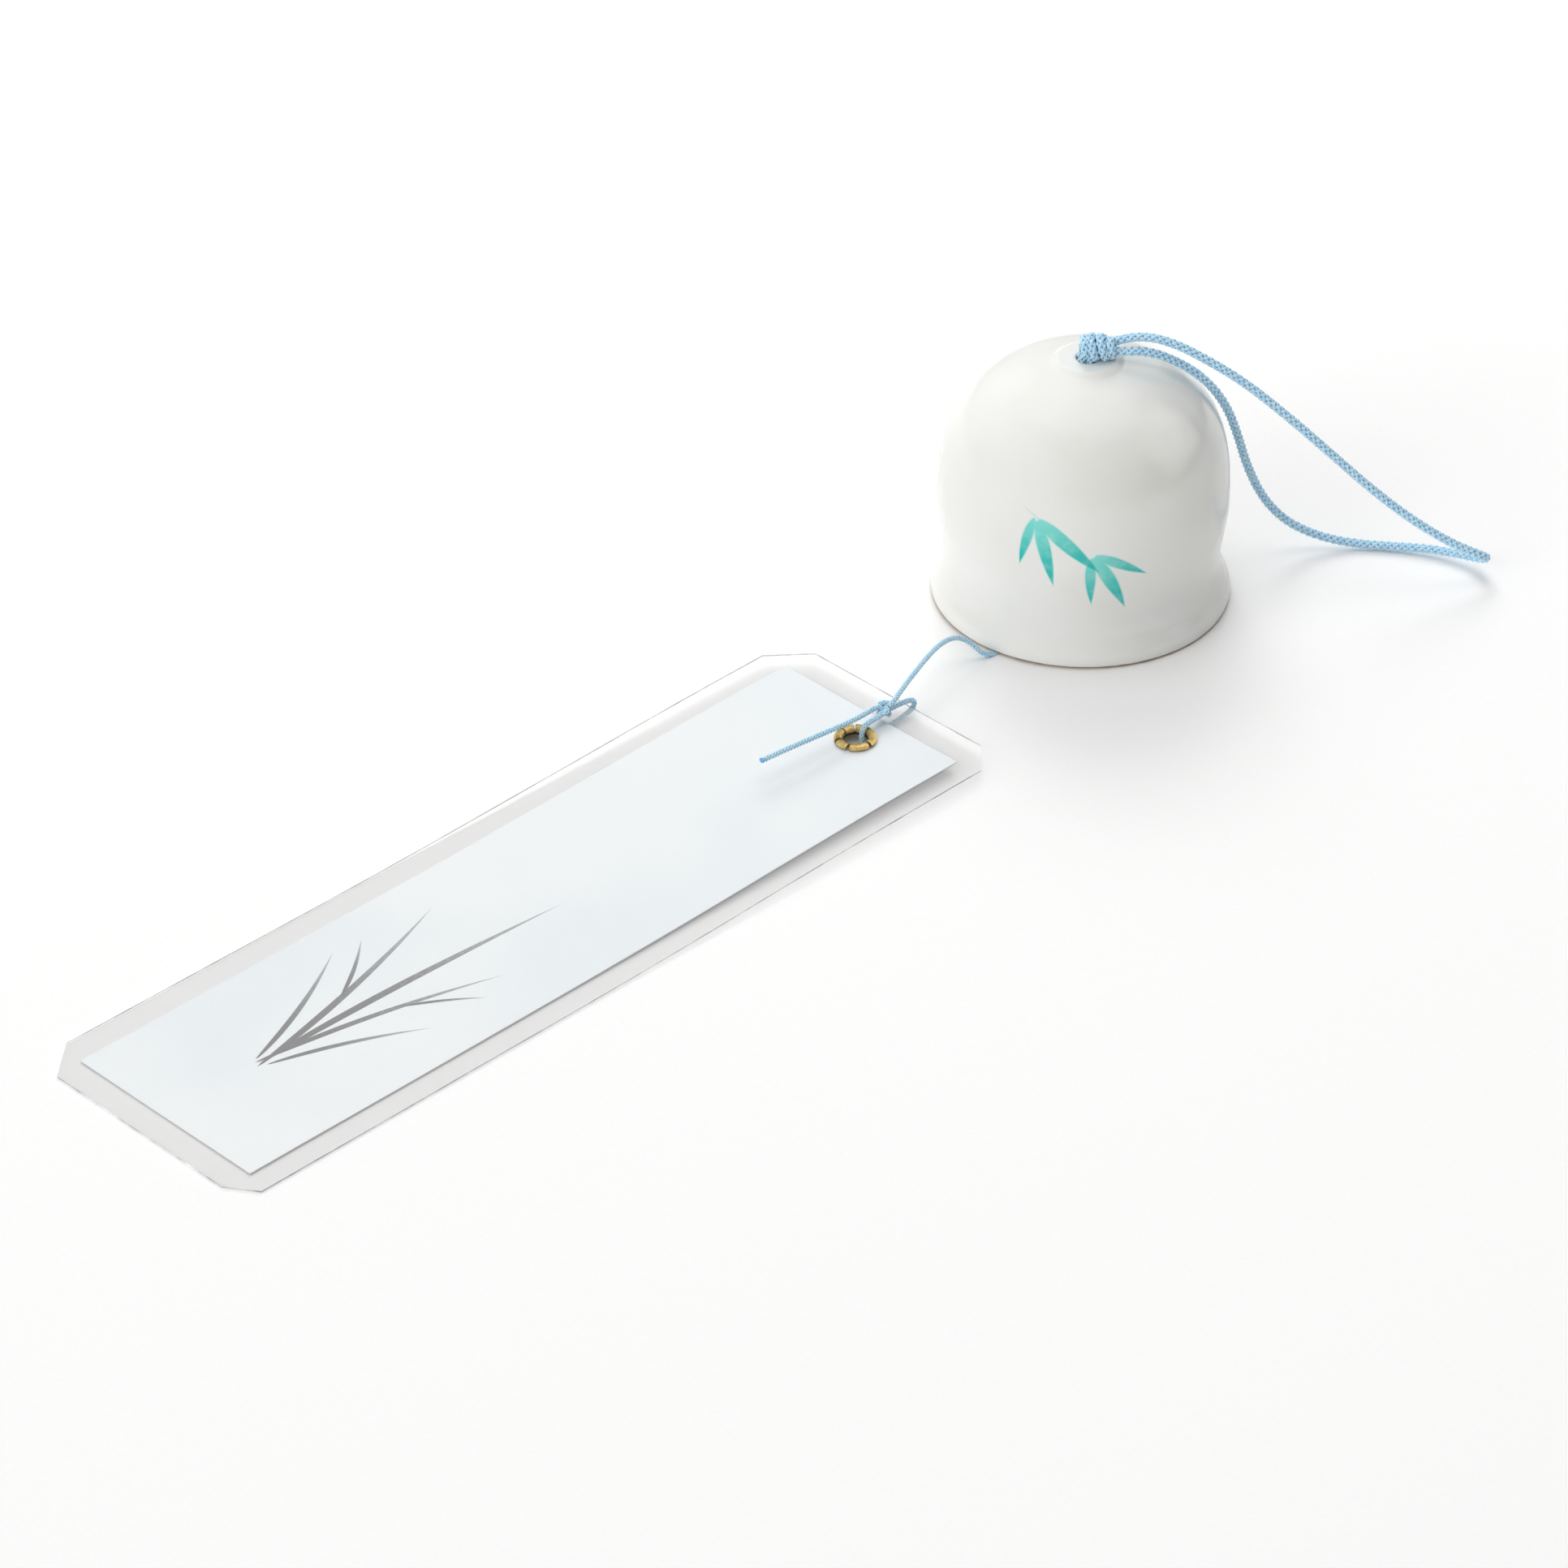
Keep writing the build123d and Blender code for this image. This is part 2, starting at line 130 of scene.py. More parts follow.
class NodeBench:
    """Builds one node-based material round a principled shader."""

    def __init__(self, name: str) -> None:
        """Makes an empty material.

        Args:
            name: The material's name.
        """
        self.material = bpy.data.materials.new(name)
        self.material.use_nodes = True
        self.tree = self.material.node_tree
        self.shader = self.tree.nodes["Principled BSDF"]

    def set(self, **values: object) -> None:
        """Sets uniform values on the shader's own sockets, with _ for a space in their names."""
        for name, value in values.items():
            self.shader.inputs[name.replace("_", " ")].default_value = value

    def feed(self, name: str, socket: Socket) -> None:
        """Links a socket to one of the shader's inputs."""
        self.tree.links.new(socket, self.shader.inputs[name])

    def node(self, kind: str, **settings: object) -> bpy.types.Node:
        """Adds a node and sets its properties."""
        made = self.tree.nodes.new(kind)
        for name, value in settings.items():
            setattr(made, name, value)
        return made

    def put(self, target: Socket, value: object) -> None:
        """Links a socket, or sets a plain value, on an input."""
        if isinstance(value, bpy.types.NodeSocket):
            self.tree.links.new(value, target)
        else:
            target.default_value = value

    def coords(self) -> Socket:
        """The row frame's coordinates in metres, since every piece's object sits at the origin."""
        return self.node("ShaderNodeTexCoord").outputs["Object"]

    def uv(self) -> Socket:
        """The piece's own UV coordinates."""
        return self.node("ShaderNodeTexCoord").outputs["UV"]

    def math(self, operation: str, first: object, second: object = 0.0, third: object = 0.0) -> Socket:
        """A maths node.

        Args:
            operation: Blender's name of the operation.
            first: Socket or number.
            second: Socket or number.
            third: Socket or number.

        Returns:
            The node's output.
        """
        made = self.node("ShaderNodeMath", operation=operation)
        for target, value in zip(made.inputs, (first, second, third)):
            self.put(target, value)
        return made.outputs[0]

    def noise(self, where: Socket, scale: float, detail: float = 2.0, rough: float = 0.5) -> Socket:
        """Noise from 0 to 1 at a scale per unit of its coordinates."""
        made = self.node("ShaderNodeTexNoise")
        self.put(made.inputs["Vector"], where)
        self.put(made.inputs["Scale"], scale)
        self.put(made.inputs["Detail"], detail)
        self.put(made.inputs["Roughness"], rough)
        return made.outputs[0]

    def step(self, value: Socket, low: float, high: float, out: Pair = (0.0, 1.0)) -> Socket:
        """A smooth step from one value to another."""
        made = self.node("ShaderNodeMapRange", interpolation_type="SMOOTHSTEP")
        for target, number in zip(made.inputs, (value, low, high, out[0], out[1])):
            self.put(target, number)
        return made.outputs["Result"]

    def mix(self, share: object, first: object, second: object) -> Socket:
        """A mix of two colours, each a socket or a display colour."""
        made = self.node("ShaderNodeMix", data_type="RGBA")
        self.put(made.inputs[0], share)
        for target, value in zip((made.inputs[6], made.inputs[7]), (first, second)):
            self.put(target, value if isinstance(value, bpy.types.NodeSocket) else linear(value))
        return made.outputs[2]

    def bump(self, height: Socket, strength: float, distance: float) -> None:
        """Feeds a bump to the shader's normal."""
        made = self.node("ShaderNodeBump")
        made.inputs["Strength"].default_value = strength
        made.inputs["Distance"].default_value = distance
        self.put(made.inputs["Height"], height)
        self.feed("Normal", made.outputs["Normal"])


@dataclass(frozen=True)
class Grain:
    """Noise sharpened by a smooth step, which gives one value below it and another above."""

    scale: float
    detail: float = 2.0
    rough: float = 0.5
    low: float = 0.0
    high: float = 1.0
    out: Pair = (0.0, 1.0)

    def step(self, bench: NodeBench, where: Socket) -> Socket:
        """The grain at the given coordinates."""
        grain = bench.noise(where, self.scale, self.detail, self.rough)
        return bench.step(grain, self.low, self.high, self.out)


@dataclass(frozen=True)
class Relief:
    """Fine unevenness of a surface, with its depth in metres."""

    scale: float
    detail: float
    strength: float
    depth: float
    rough: float = 0.5

    def press(self, bench: NodeBench, where: Socket) -> None:
        """Presses the relief into a material."""
        bench.bump(bench.noise(where, self.scale, self.detail, self.rough), self.strength, self.depth)


@dataclass(frozen=True)
class Blade:
    """One brushed leaf: a lens shape on a flat or rolled-out surface, in millimetres."""

    root: Pair
    turn: float
    length: float
    width: float
    bend: float = 0.0
    swell: float = 0.55
    half_share: float = 1.1
    end_share: float = 0.03

    def mask(self, bench: NodeBench, where: Socket, soft: float) -> tuple[Socket, Socket]:
        """The leaf's cover and how far along it a point is.

        Args:
            bench: The material's bench.
            where: Coordinates on the surface, in millimetres.
            soft: Width of the brushed edge, in millimetres.

        Returns:
            The cover from 0 to 1, and the place along the leaf from 0 at its root to 1.
        """
        mapped = bench.node("ShaderNodeMapping", vector_type="TEXTURE")
        mapped.inputs["Location"].default_value = (self.root[0], self.root[1], 0.0)
        mapped.inputs["Rotation"].default_value = (0.0, 0.0, math.radians(self.turn))
        bench.put(mapped.inputs["Vector"], where)
        split = bench.node("ShaderNodeSeparateXYZ")
        bench.put(split.inputs[0], mapped.outputs[0])
        along = bench.math("DIVIDE", split.outputs[0], self.length)
        swing = bench.math("MULTIPLY", bench.math("MULTIPLY", along, along), self.bend)
        across = bench.math("ABSOLUTE", bench.math("SUBTRACT", split.outputs[1], swing))
        left = bench.math("MAXIMUM", bench.math("SUBTRACT", 1.0, along), 0.0)
        from_root = bench.math("POWER", bench.math("MAXIMUM", along, 0.0), self.swell)
        half = bench.math("MULTIPLY", bench.math("MULTIPLY", from_root, left), self.width * self.half_share)
        inside = bench.step(bench.math("SUBTRACT", half, across), 0.0, soft)
        ends = bench.math("MULTIPLY", bench.step(along, 0.0, self.end_share),
                          bench.step(left, 0.0, self.end_share))
        return bench.math("MULTIPLY", inside, ends), along


@dataclass(frozen=True)
class GlazeFinish:
    """Clear glaze over white porcelain, with a brushed spray of leaves under it."""

    body: Colour = (0.908, 0.910, 0.898)
    warm: Colour = (0.899, 0.898, 0.879)
    clouds: Grain = Grain(45.0, 3.0, low=0.42, high=0.68)
    gloss: Grain = Grain(220.0, 3.0, low=0.3, high=0.8, out=(0.15, 0.22))
    swell_scale: float = 55.0
    swell_detail: float = 1.0
    pit_scale: float = 420.0
    pit_share: float = 0.06
    ripple_strength: float = 0.10
    ripple_depth: float = 0.002
    pale_leaf: Colour = (0.50, 0.86, 0.82)
    deep_leaf: Colour = (0.0, 0.72, 0.70)
    brush_scale: float = 0.35
    brush_detail: float = 3.0
    brush_share: float = 0.35
    depth_share: float = 0.95
    shade_range: Pair = (0.1, 1.0)
    thin_range: Pair = (0.1, 0.6)
    thin_cover: Pair = (0.8, 1.0)
    spray_heading: float = -139.0
    spray_radius: float = 30.0
    outer_from: float = 28.9
    outer_soft: float = 0.4
    edge_soft: float = 0.55
    blades: tuple[Blade, ...] = (
        Blade((-8.6, 34.2), -36.0, 18.5, 4.6, -1.6),
        Blade((-8.8, 34.0), -71.0, 16.4, 4.3, -1.2),
        Blade((-9.2, 34.4), -108.0, 12.6, 3.5, 0.9),
        Blade((3.4, 27.0), -22.0, 13.5, 3.5, -1.3),
        Blade((3.2, 26.8), -57.0, 16.2, 4.3, -1.4),
        Blade((2.9, 26.6), -93.0, 12.8, 3.5, 1.0),
    )
    stems: tuple[Blade, ...] = (Blade((-13.6, 37.2), -31.0, 20.6, 0.8, 0.6),)

    def rolled_out(self, bench: NodeBench) -> tuple[Socket, Socket]:
        """Coordinates round and up the bell in millimetres, and a mask of its outside.

        Args:
            bench: The material's bench.

        Returns:
            The rolled-out coordinates and the mask.
        """
        split = bench.node("ShaderNodeSeparateXYZ")
        bench.put(split.inputs[0], bench.coords())
        x, y, z = split.outputs
        heading = math.radians(self.spray_heading)
        turned_x = bench.math("ADD", bench.math("MULTIPLY", x, math.cos(heading)),
                              bench.math("MULTIPLY", y, math.sin(heading)))
        turned_y = bench.math("SUBTRACT", bench.math("MULTIPLY", y, math.cos(heading)),
                              bench.math("MULTIPLY", x, math.sin(heading)))
        angle = bench.math("ARCTAN2", turned_y, turned_x)
        flat = bench.node("ShaderNodeCombineXYZ")
        bench.put(flat.inputs[0], bench.math("MULTIPLY", angle, self.spray_radius))
        bench.put(flat.inputs[1], bench.math("MULTIPLY", z, 1.0 / MM))
        squares = bench.math("ADD", bench.math("MULTIPLY", x, x), bench.math("MULTIPLY", y, y))
        reach = bench.math("SQRT", squares)
        outside = bench.step(reach, (self.outer_from - self.outer_soft) * MM, self.outer_from * MM)
        return flat.outputs[0], outside

    def material(self) -> bpy.types.Material:
        """Makes the glaze's material."""
        bench = NodeBench("clear_glaze")
        where = bench.coords()
        ground = bench.mix(self.clouds.step(bench, where), self.body, self.warm)
        flat, outside = self.rolled_out(bench)
        wobble = bench.noise(flat, self.brush_scale, self.brush_detail)
        cover: Optional[Socket] = None
        depth: Optional[Socket] = None
        for blade in self.blades + self.stems:
            mask, along = blade.mask(bench, flat, self.edge_soft)
            cover = mask if cover is None else bench.math("MAXIMUM", cover, mask)
            tone = bench.math("MULTIPLY", mask, along)
            depth = tone if depth is None else bench.math("MAXIMUM", depth, tone)
        shade = bench.math("ADD", bench.math("MULTIPLY", depth, self.depth_share),
                           bench.math("MULTIPLY", wobble, self.brush_share))
        leaf = bench.mix(bench.step(shade, *self.shade_range), self.pale_leaf, self.deep_leaf)
        strength = bench.math("MULTIPLY", bench.math("MULTIPLY", cover, outside),
                              bench.step(wobble, *self.thin_range, self.thin_cover))
        bench.feed("Base Color", bench.mix(strength, ground, leaf))
        bench.feed("Roughness", self.gloss.step(bench, where))
        bench.set(IOR=1.5, Specular_IOR_Level=0.5, Coat_Weight=0.1, Coat_Roughness=0.12)
        bench.set(Subsurface_Weight=0.12, Subsurface_Radius=(1.0, 0.95, 0.85), Subsurface_Scale=0.002)
        swell = bench.noise(where, self.swell_scale, self.swell_detail)
        pits = bench.math("MULTIPLY", bench.noise(where, self.pit_scale), self.pit_share)
        bench.bump(bench.math("ADD", swell, pits), self.ripple_strength, self.ripple_depth)
        return bench.material


@dataclass(frozen=True)
class BiscuitFinish:
    """Bare fired clay of the foot, tanned where the glaze stops."""

    clay: Colour = (0.80, 0.72, 0.62)
    burnt: Colour = (0.58, 0.45, 0.33)
    scorch: Grain = Grain(500.0, 4.0, low=0.35, high=0.7)
    gloss: Grain = Grain(900.0, low=0.2, high=0.8, out=(0.7, 0.95))
    grit: Relief = Relief(2600.0, 3.0, 0.35, 0.0002)

    def material(self) -> bpy.types.Material:
        """Makes the bare foot's material."""
        bench = NodeBench("bare_biscuit")
        where = bench.coords()
        bench.feed("Base Color", bench.mix(self.scorch.step(bench, where), self.clay, self.burnt))
        bench.feed("Roughness", self.gloss.step(bench, where))
        self.grit.press(bench, where)
        return bench.material


@dataclass(frozen=True)
class YarnFinish:
    """Glossy braided yarn: filaments along each strand, paler where it is rubbed."""

    name: str
    bright: Colour = (0.86, 0.965, 1.0)
    deep: Colour = (0.51, 0.77, 0.96)
    filaments: float = 9.0
    slant: float = 5.0
    drift_scale: float = 3.0
    drift: float = 1.6
    fibre_share: float = 0.45
    fuzz_scale: float = 1400.0
    fuzz_detail: float = 3.0
    fuzz_share: float = 0.75
    tone_range: Pair = (0.15, 0.95)
    gloss: Pair = (0.44, 0.28)
    fibre_strength: float = 0.45
    fibre_depth: float = 0.00006

    def material(self) -> bpy.types.Material:
        """Makes the yarn's material."""
        bench = NodeBench(self.name)
        where, uv = bench.coords(), bench.uv()
        split = bench.node("ShaderNodeSeparateXYZ")
        bench.put(split.inputs[0], uv)
        along, round_it = split.outputs[0], split.outputs[1]
        drift = bench.math("MULTIPLY", bench.noise(uv, self.drift_scale), self.drift)
        twist = bench.math("ADD", bench.math("MULTIPLY", round_it, self.filaments * 2.0 * math.pi),
                           bench.math("ADD", bench.math("MULTIPLY", along, self.slant), drift))
        fibre = bench.math("MULTIPLY_ADD", bench.math("SINE", twist), 0.5, 0.5)
        fuzz = bench.noise(where, self.fuzz_scale, self.fuzz_detail)
        tone = bench.math("ADD", bench.math("MULTIPLY", fibre, self.fibre_share),
                          bench.math("MULTIPLY", fuzz, self.fuzz_share))
        bench.feed("Base Color", bench.mix(bench.step(tone, *self.tone_range), self.deep, self.bright))
        bench.feed("Roughness", bench.step(fibre, 0.0, 1.0, self.gloss))
        bench.set(Specular_IOR_Level=0.55, Sheen_Weight=0.25, Sheen_Roughness=0.4)
        bench.set(Subsurface_Weight=0.25, Subsurface_Radius=(0.6, 0.8, 1.0), Subsurface_Scale=0.0004)
        bench.bump(fibre, self.fibre_strength, self.fibre_depth)
        return bench.material


@dataclass(frozen=True)
class CoreFinish:
    """The braid's core, dark blue as painted shade in the gaps between strands, and a melted cord end in its
    own colours.
    """

    name: str = "yarn_core_painted_shade"
    # For the core these dark blues are painted shade in the braid's gaps.
    tone: Colour = (0.20, 0.47, 0.79)
    dark: Colour = (0.11, 0.36, 0.69)
    blotch_scale: float = 1800.0
    blotch_detail: float = 3.0
    gloss: Grain = Grain(2500.0, low=0.2, high=0.8, out=(0.45, 0.7))
    fuzz: Relief = Relief(4000.0, 2.0, 0.3, 0.0001)

    def material(self) -> bpy.types.Material:
        """Makes the core's material."""
        bench = NodeBench(self.name)
        where = bench.coords()
        blotches = bench.noise(where, self.blotch_scale, self.blotch_detail)
        bench.feed("Base Color", bench.mix(blotches, self.tone, self.dark))
        bench.feed("Roughness", self.gloss.step(bench, where))
        self.fuzz.press(bench, where)
        return bench.material


@dataclass(frozen=True)
class PaperFinish:
    """Pale blue card with fine fibres and a spray of brushed grey reeds."""

    name: str = "pale_card"
    pale: Colour = (0.905, 0.920, 0.922)
    blue: Colour = (0.875, 0.902, 0.915)
    fibre: Colour = (0.92, 0.932, 0.936)
    ink: Colour = (0.36, 0.36, 0.37)
    clouds: Grain = Grain(0.016, low=0.36, high=0.64)
    strands: Grain = Grain(1.6, 4.0, 0.6, 0.58, 0.74)
    strand_stretch: Point = (0.6, 4.0, 1.0)
    strand_share: float = 0.22
    dry_scale: float = 2.2
    dry_range: Pair = (0.75, 1.75)
    dry_cover: Pair = (1.0, 0.45)
    gloss: Grain = Grain(3.0, 3.0, low=0.3, high=0.7, out=(0.72, 0.88))
    tooth: Relief = Relief(5.0, 3.0, 0.05, 0.00004, 0.6)
    edge_soft: float = 0.16
    blades: tuple[Blade, ...] = (
        Blade((-72.0, -1.0), 9.0, 62.0, 2.1, 6.0),
        Blade((-71.0, -0.4), 1.5, 78.0, 2.3, -5.0),
        Blade((-71.5, 0.4), -7.0, 56.0, 1.9, -6.5),
        Blade((-70.5, 0.9), 17.0, 38.0, 1.7, 5.5),
        Blade((-70.0, -1.6), -16.0, 34.0, 1.6, -5.0),
        Blade((-46.0, 4.4), 28.0, 20.0, 1.3, 3.0),
        Blade((-40.0, -5.6), -27.0, 18.0, 1.2, -2.6),
    )

    def material(self, to_strip: Matrix) -> bpy.types.Material:
        """Makes the card's material.

        Args:
            to_strip: Turns row coordinates in metres into the strip's own, in millimetres.

        Returns:
            The material.
        """
        bench = NodeBench(self.name)
        where = bench.coords()
        flat = bench.node("ShaderNodeMapping", vector_type="POINT")
        flat.inputs["Location"].default_value = to_strip.to_translation()
        flat.inputs["Rotation"].default_value = to_strip.to_euler()
        flat.inputs["Scale"].default_value = (1.0 / MM, 1.0 / MM, 1.0 / MM)
        bench.put(flat.inputs["Vector"], where)
        strip = flat.outputs[0]
        ground = bench.mix(self.clouds.step(bench, strip), self.pale, self.blue)
        stretched = bench.node("ShaderNodeMapping", vector_type="POINT")
        stretched.inputs["Scale"].default_value = self.strand_stretch
        bench.put(stretched.inputs["Vector"], strip)
        strands = bench.math("MULTIPLY", self.strands.step(bench, stretched.outputs[0]), self.strand_share)
        ground = bench.mix(strands, ground, self.fibre)
        cover: Optional[Socket] = None
        for blade in self.blades:
            mask, along = blade.mask(bench, strip, self.edge_soft)
            worn = bench.math("ADD", along, bench.noise(stretched.outputs[0], self.dry_scale))
            stroke = bench.math("MULTIPLY", mask, bench.step(worn, *self.dry_range, self.dry_cover))
            cover = stroke if cover is None else bench.math("MAXIMUM", cover, stroke)
        bench.feed("Base Color", bench.mix(cover, ground, self.ink))
        bench.feed("Roughness", self.gloss.step(bench, strip))
        bench.set(Specular_IOR_Level=0.25)
        self.tooth.press(bench, strip)
        return bench.material


@dataclass(frozen=True)
class FilmFinish:
    """Clear laminating film, a little milky, with faint scuffs."""

    name: str = "clear_film"
    tint: Colour = (0.996, 0.990, 0.990)
    alpha: float = 0.09
    scuffed: Colour = (0.998, 0.994, 0.994)
    scuff_scale: float = 130.0
    scuff_detail: float = 4.0
    scuff_rough: float = 0.65
    scuff_range: Pair = (0.3, 0.75)
    gloss_range: Pair = (0.35, 0.75)
    gloss: Pair = (0.08, 0.2)
    ripple: Relief = Relief(30.0, 2.0, 0.03, 0.0006)

    def material(self) -> bpy.types.Material:
        """Makes the film's material."""
        bench = NodeBench(self.name)
        where = bench.coords()
        scuff = bench.noise(where, self.scuff_scale, self.scuff_detail, self.scuff_rough)
        bench.feed("Base Color", bench.mix(bench.step(scuff, *self.scuff_range), self.tint, self.scuffed))
        bench.feed("Roughness", bench.step(scuff, *self.gloss_range, self.gloss))
        bench.set(Alpha=self.alpha, IOR=1.5, Specular_IOR_Level=0.5)
        self.ripple.press(bench, where)
        return bench.material


@dataclass(frozen=True)
class BrassFinish:
    """Rolled brass, with painted shade darkening its creases so that its crests stand out brighter."""

    bright: Colour = (0.99, 0.88, 0.60)
    dull: Colour = (0.88, 0.74, 0.45)
    # Colour of the painted shade in the creases.
    dark: Colour = (0.30, 0.21, 0.11)
    tone_scale: float = 900.0
    tone_detail: float = 4.0
    tone_rough: float = 0.6
    tone_range: Pair = (0.35, 0.7)
    crease_shade_range: Pair = (0.40, 0.48)
    crease_shade_share: float = 0.6
    gloss_range: Pair = (0.3, 0.8)
    gloss: Pair = (0.33, 0.52)
    scratches: Relief = Relief(2600.0, 3.0, 0.25, 0.0001)

    def material(self) -> bpy.types.Material:
        """Makes the brass's material."""
        bench = NodeBench("rolled_brass")
        where = bench.coords()
        tone = bench.noise(where, self.tone_scale, self.tone_detail, self.tone_rough)
        body = bench.mix(bench.step(tone, *self.tone_range), self.dull, self.bright)
        # Painted shade: concave places, found by pointiness, are mixed towards the dark colour.
        pointed = bench.node("ShaderNodeNewGeometry").outputs["Pointiness"]
        crease = bench.step(pointed, *self.crease_shade_range, (1.0, 0.0))
        shade = bench.math("MULTIPLY", crease, self.crease_shade_share)
        bench.feed("Base Color", bench.mix(shade, body, self.dark))
        bench.set(Metallic=0.85)
        bench.feed("Roughness", bench.step(tone, *self.gloss_range, self.gloss))
        self.scratches.press(bench, where)
        return bench.material


@dataclass(frozen=True)
class BarrelShadeFinish:
    """Dark, dull metal inside the eyelet's barrel: painted shade that darkens the hole."""

    grey: Colour = (0.27, 0.26, 0.25)
    brown: Colour = (0.20, 0.16, 0.12)
    tone_scale: float = 1200.0
    tone_detail: float = 3.0
    tone_range: Pair = (0.35, 0.65)
    gloss_range: Pair = (0.3, 0.7)
    gloss: Pair = (0.45, 0.65)

    def material(self) -> bpy.types.Material:
        """Makes the barrel's material."""
        bench = NodeBench("barrel_painted_shade")
        where = bench.coords()
        tone = bench.noise(where, self.tone_scale, self.tone_detail)
        bench.feed("Base Color", bench.mix(bench.step(tone, *self.tone_range), self.grey, self.brown))
        bench.feed("Roughness", bench.step(tone, *self.gloss_range, self.gloss))
        bench.set(Metallic=0.4)
        return bench.material


@dataclass(frozen=True)
class FloorFinish:
    """White seamless paper under the object."""

    white: Colour = (0.985, 0.983, 0.98)
    shade: Colour = (0.965, 0.965, 0.968)
    fleck_scale: float = 900.0
    fleck_detail: float = 4.0
    tooth: Relief = Relief(1500.0, 3.0, 0.05, 0.0002)

    def material(self) -> bpy.types.Material:
        """Makes the floor's material."""
        bench = NodeBench("white_ground")
        where = bench.coords()
        flecks = bench.noise(where, self.fleck_scale, self.fleck_detail)
        bench.feed("Base Color", bench.mix(flecks, self.white, self.shade))
        bench.set(Roughness=0.9, Specular_IOR_Level=0.1)
        self.tooth.press(bench, where)
        return bench.material


def eased(share: Share) -> Share:
    """Eases a share from 0 to 1, so that it starts and ends without a kink."""
    return share * share * (3.0 - 2.0 * share)


def mesh_object(name: str, points: np.ndarray, faces: Sequence[Sequence[int]],
                materials: Sequence[bpy.types.Material], smooth: bool = True) -> bpy.types.Object:
    """Makes a mesh object in the row frame.

    Args:
        name: The piece's name.
        points: Its points, in metres.
        faces: Its faces as point numbers.
        materials: Its material slots.
        smooth: Whether its faces are shaded smooth.

    Returns:
        The linked object.
    """
    mesh = bpy.data.meshes.new(name)
    mesh.from_pydata([tuple(p) for p in points], [], [list(f) for f in faces])
    mesh.update()
    for material in materials:
        mesh.materials.append(material)
    mesh.polygons.foreach_set("use_smooth", [smooth] * len(mesh.polygons))
    made = bpy.data.objects.new(name, mesh)
    bpy.context.scene.collection.objects.link(made)
    return made


def route_line(route: Sequence[Point], step: float) -> np.ndarray:
    """Points evenly along the smooth line that a route's points control.

    Args:
        route: The route's points in the row frame, in millimetres.
        step: Distance between the points returned, in millimetres.

    Returns:
        The points, in millimetres.
    """
    curve = bpy.data.curves.new("route", "CURVE")
    curve.dimensions = "3D"
    spline = curve.splines.new("NURBS")
    spline.points.add(len(route) - 1)
    for point, place in zip(spline.points, route):
        point.co = (*place, 1.0)
    spline.order_u = ROUTE_ORDER
    spline.use_endpoint_u = True
    spline.resolution_u = ROUTE_RESOLUTION
    holder = bpy.data.objects.new("route", curve)
    bpy.context.scene.collection.objects.link(holder)
    bpy.context.view_layer.update()
    mesh = bpy.data.meshes.new_from_object(holder)
    line = np.array([v.co for v in mesh.vertices], float)
    bpy.data.meshes.remove(mesh)
    bpy.data.objects.remove(holder)
    bpy.data.curves.remove(curve)
    return even_line(line, step)


def even_line(line: np.ndarray, step: float) -> np.ndarray:
    """Spreads points evenly along a fine line."""
    runs = np.linalg.norm(np.diff(line, axis=0), axis=1)
    keep = np.concatenate([[True], runs > LEAST_RUN])
    line, runs = line[keep], runs[runs > LEAST_RUN]
    along = np.concatenate([[0.0], np.cumsum(runs)])
    count = max(LEAST_POINTS, int(round(along[-1] / step)) + 1)
    at = np.linspace(0.0, along[-1], count)
    return np.stack([np.interp(at, along, line[:, k]) for k in range(3)], axis=1)


def carried_frames(line: np.ndarray, up: Optional[Point] = None) -> tuple[np.ndarray, np.ndarray, np.ndarray]:
    """A frame along a line that doesn't twist.

    Args:
        line: Points along the line.
        up: Where given, the third direction stays as near to it as it can.

    Returns:
        The side, second and forward direction at each point.
    """
    forward = np.gradient(line, axis=0)
    forward /= np.linalg.norm(forward, axis=1)[:, None]
    if up is not None:
        side = np.cross(np.array(up), forward)
        side /= np.linalg.norm(side, axis=1)[:, None]
        return side, np.cross(forward, side), forward
    seed = np.eye(3)[np.argmin(np.abs(forward[0]))]
    side = np.zeros_like(line)
    side[0] = np.cross(forward[0], seed)
    side[0] /= np.linalg.norm(side[0])
    for i in range(1, len(line)):
        carried = side[i - 1] - forward[i] * np.dot(side[i - 1], forward[i])
        side[i] = carried / np.linalg.norm(carried)
    return side, np.cross(forward, side), forward


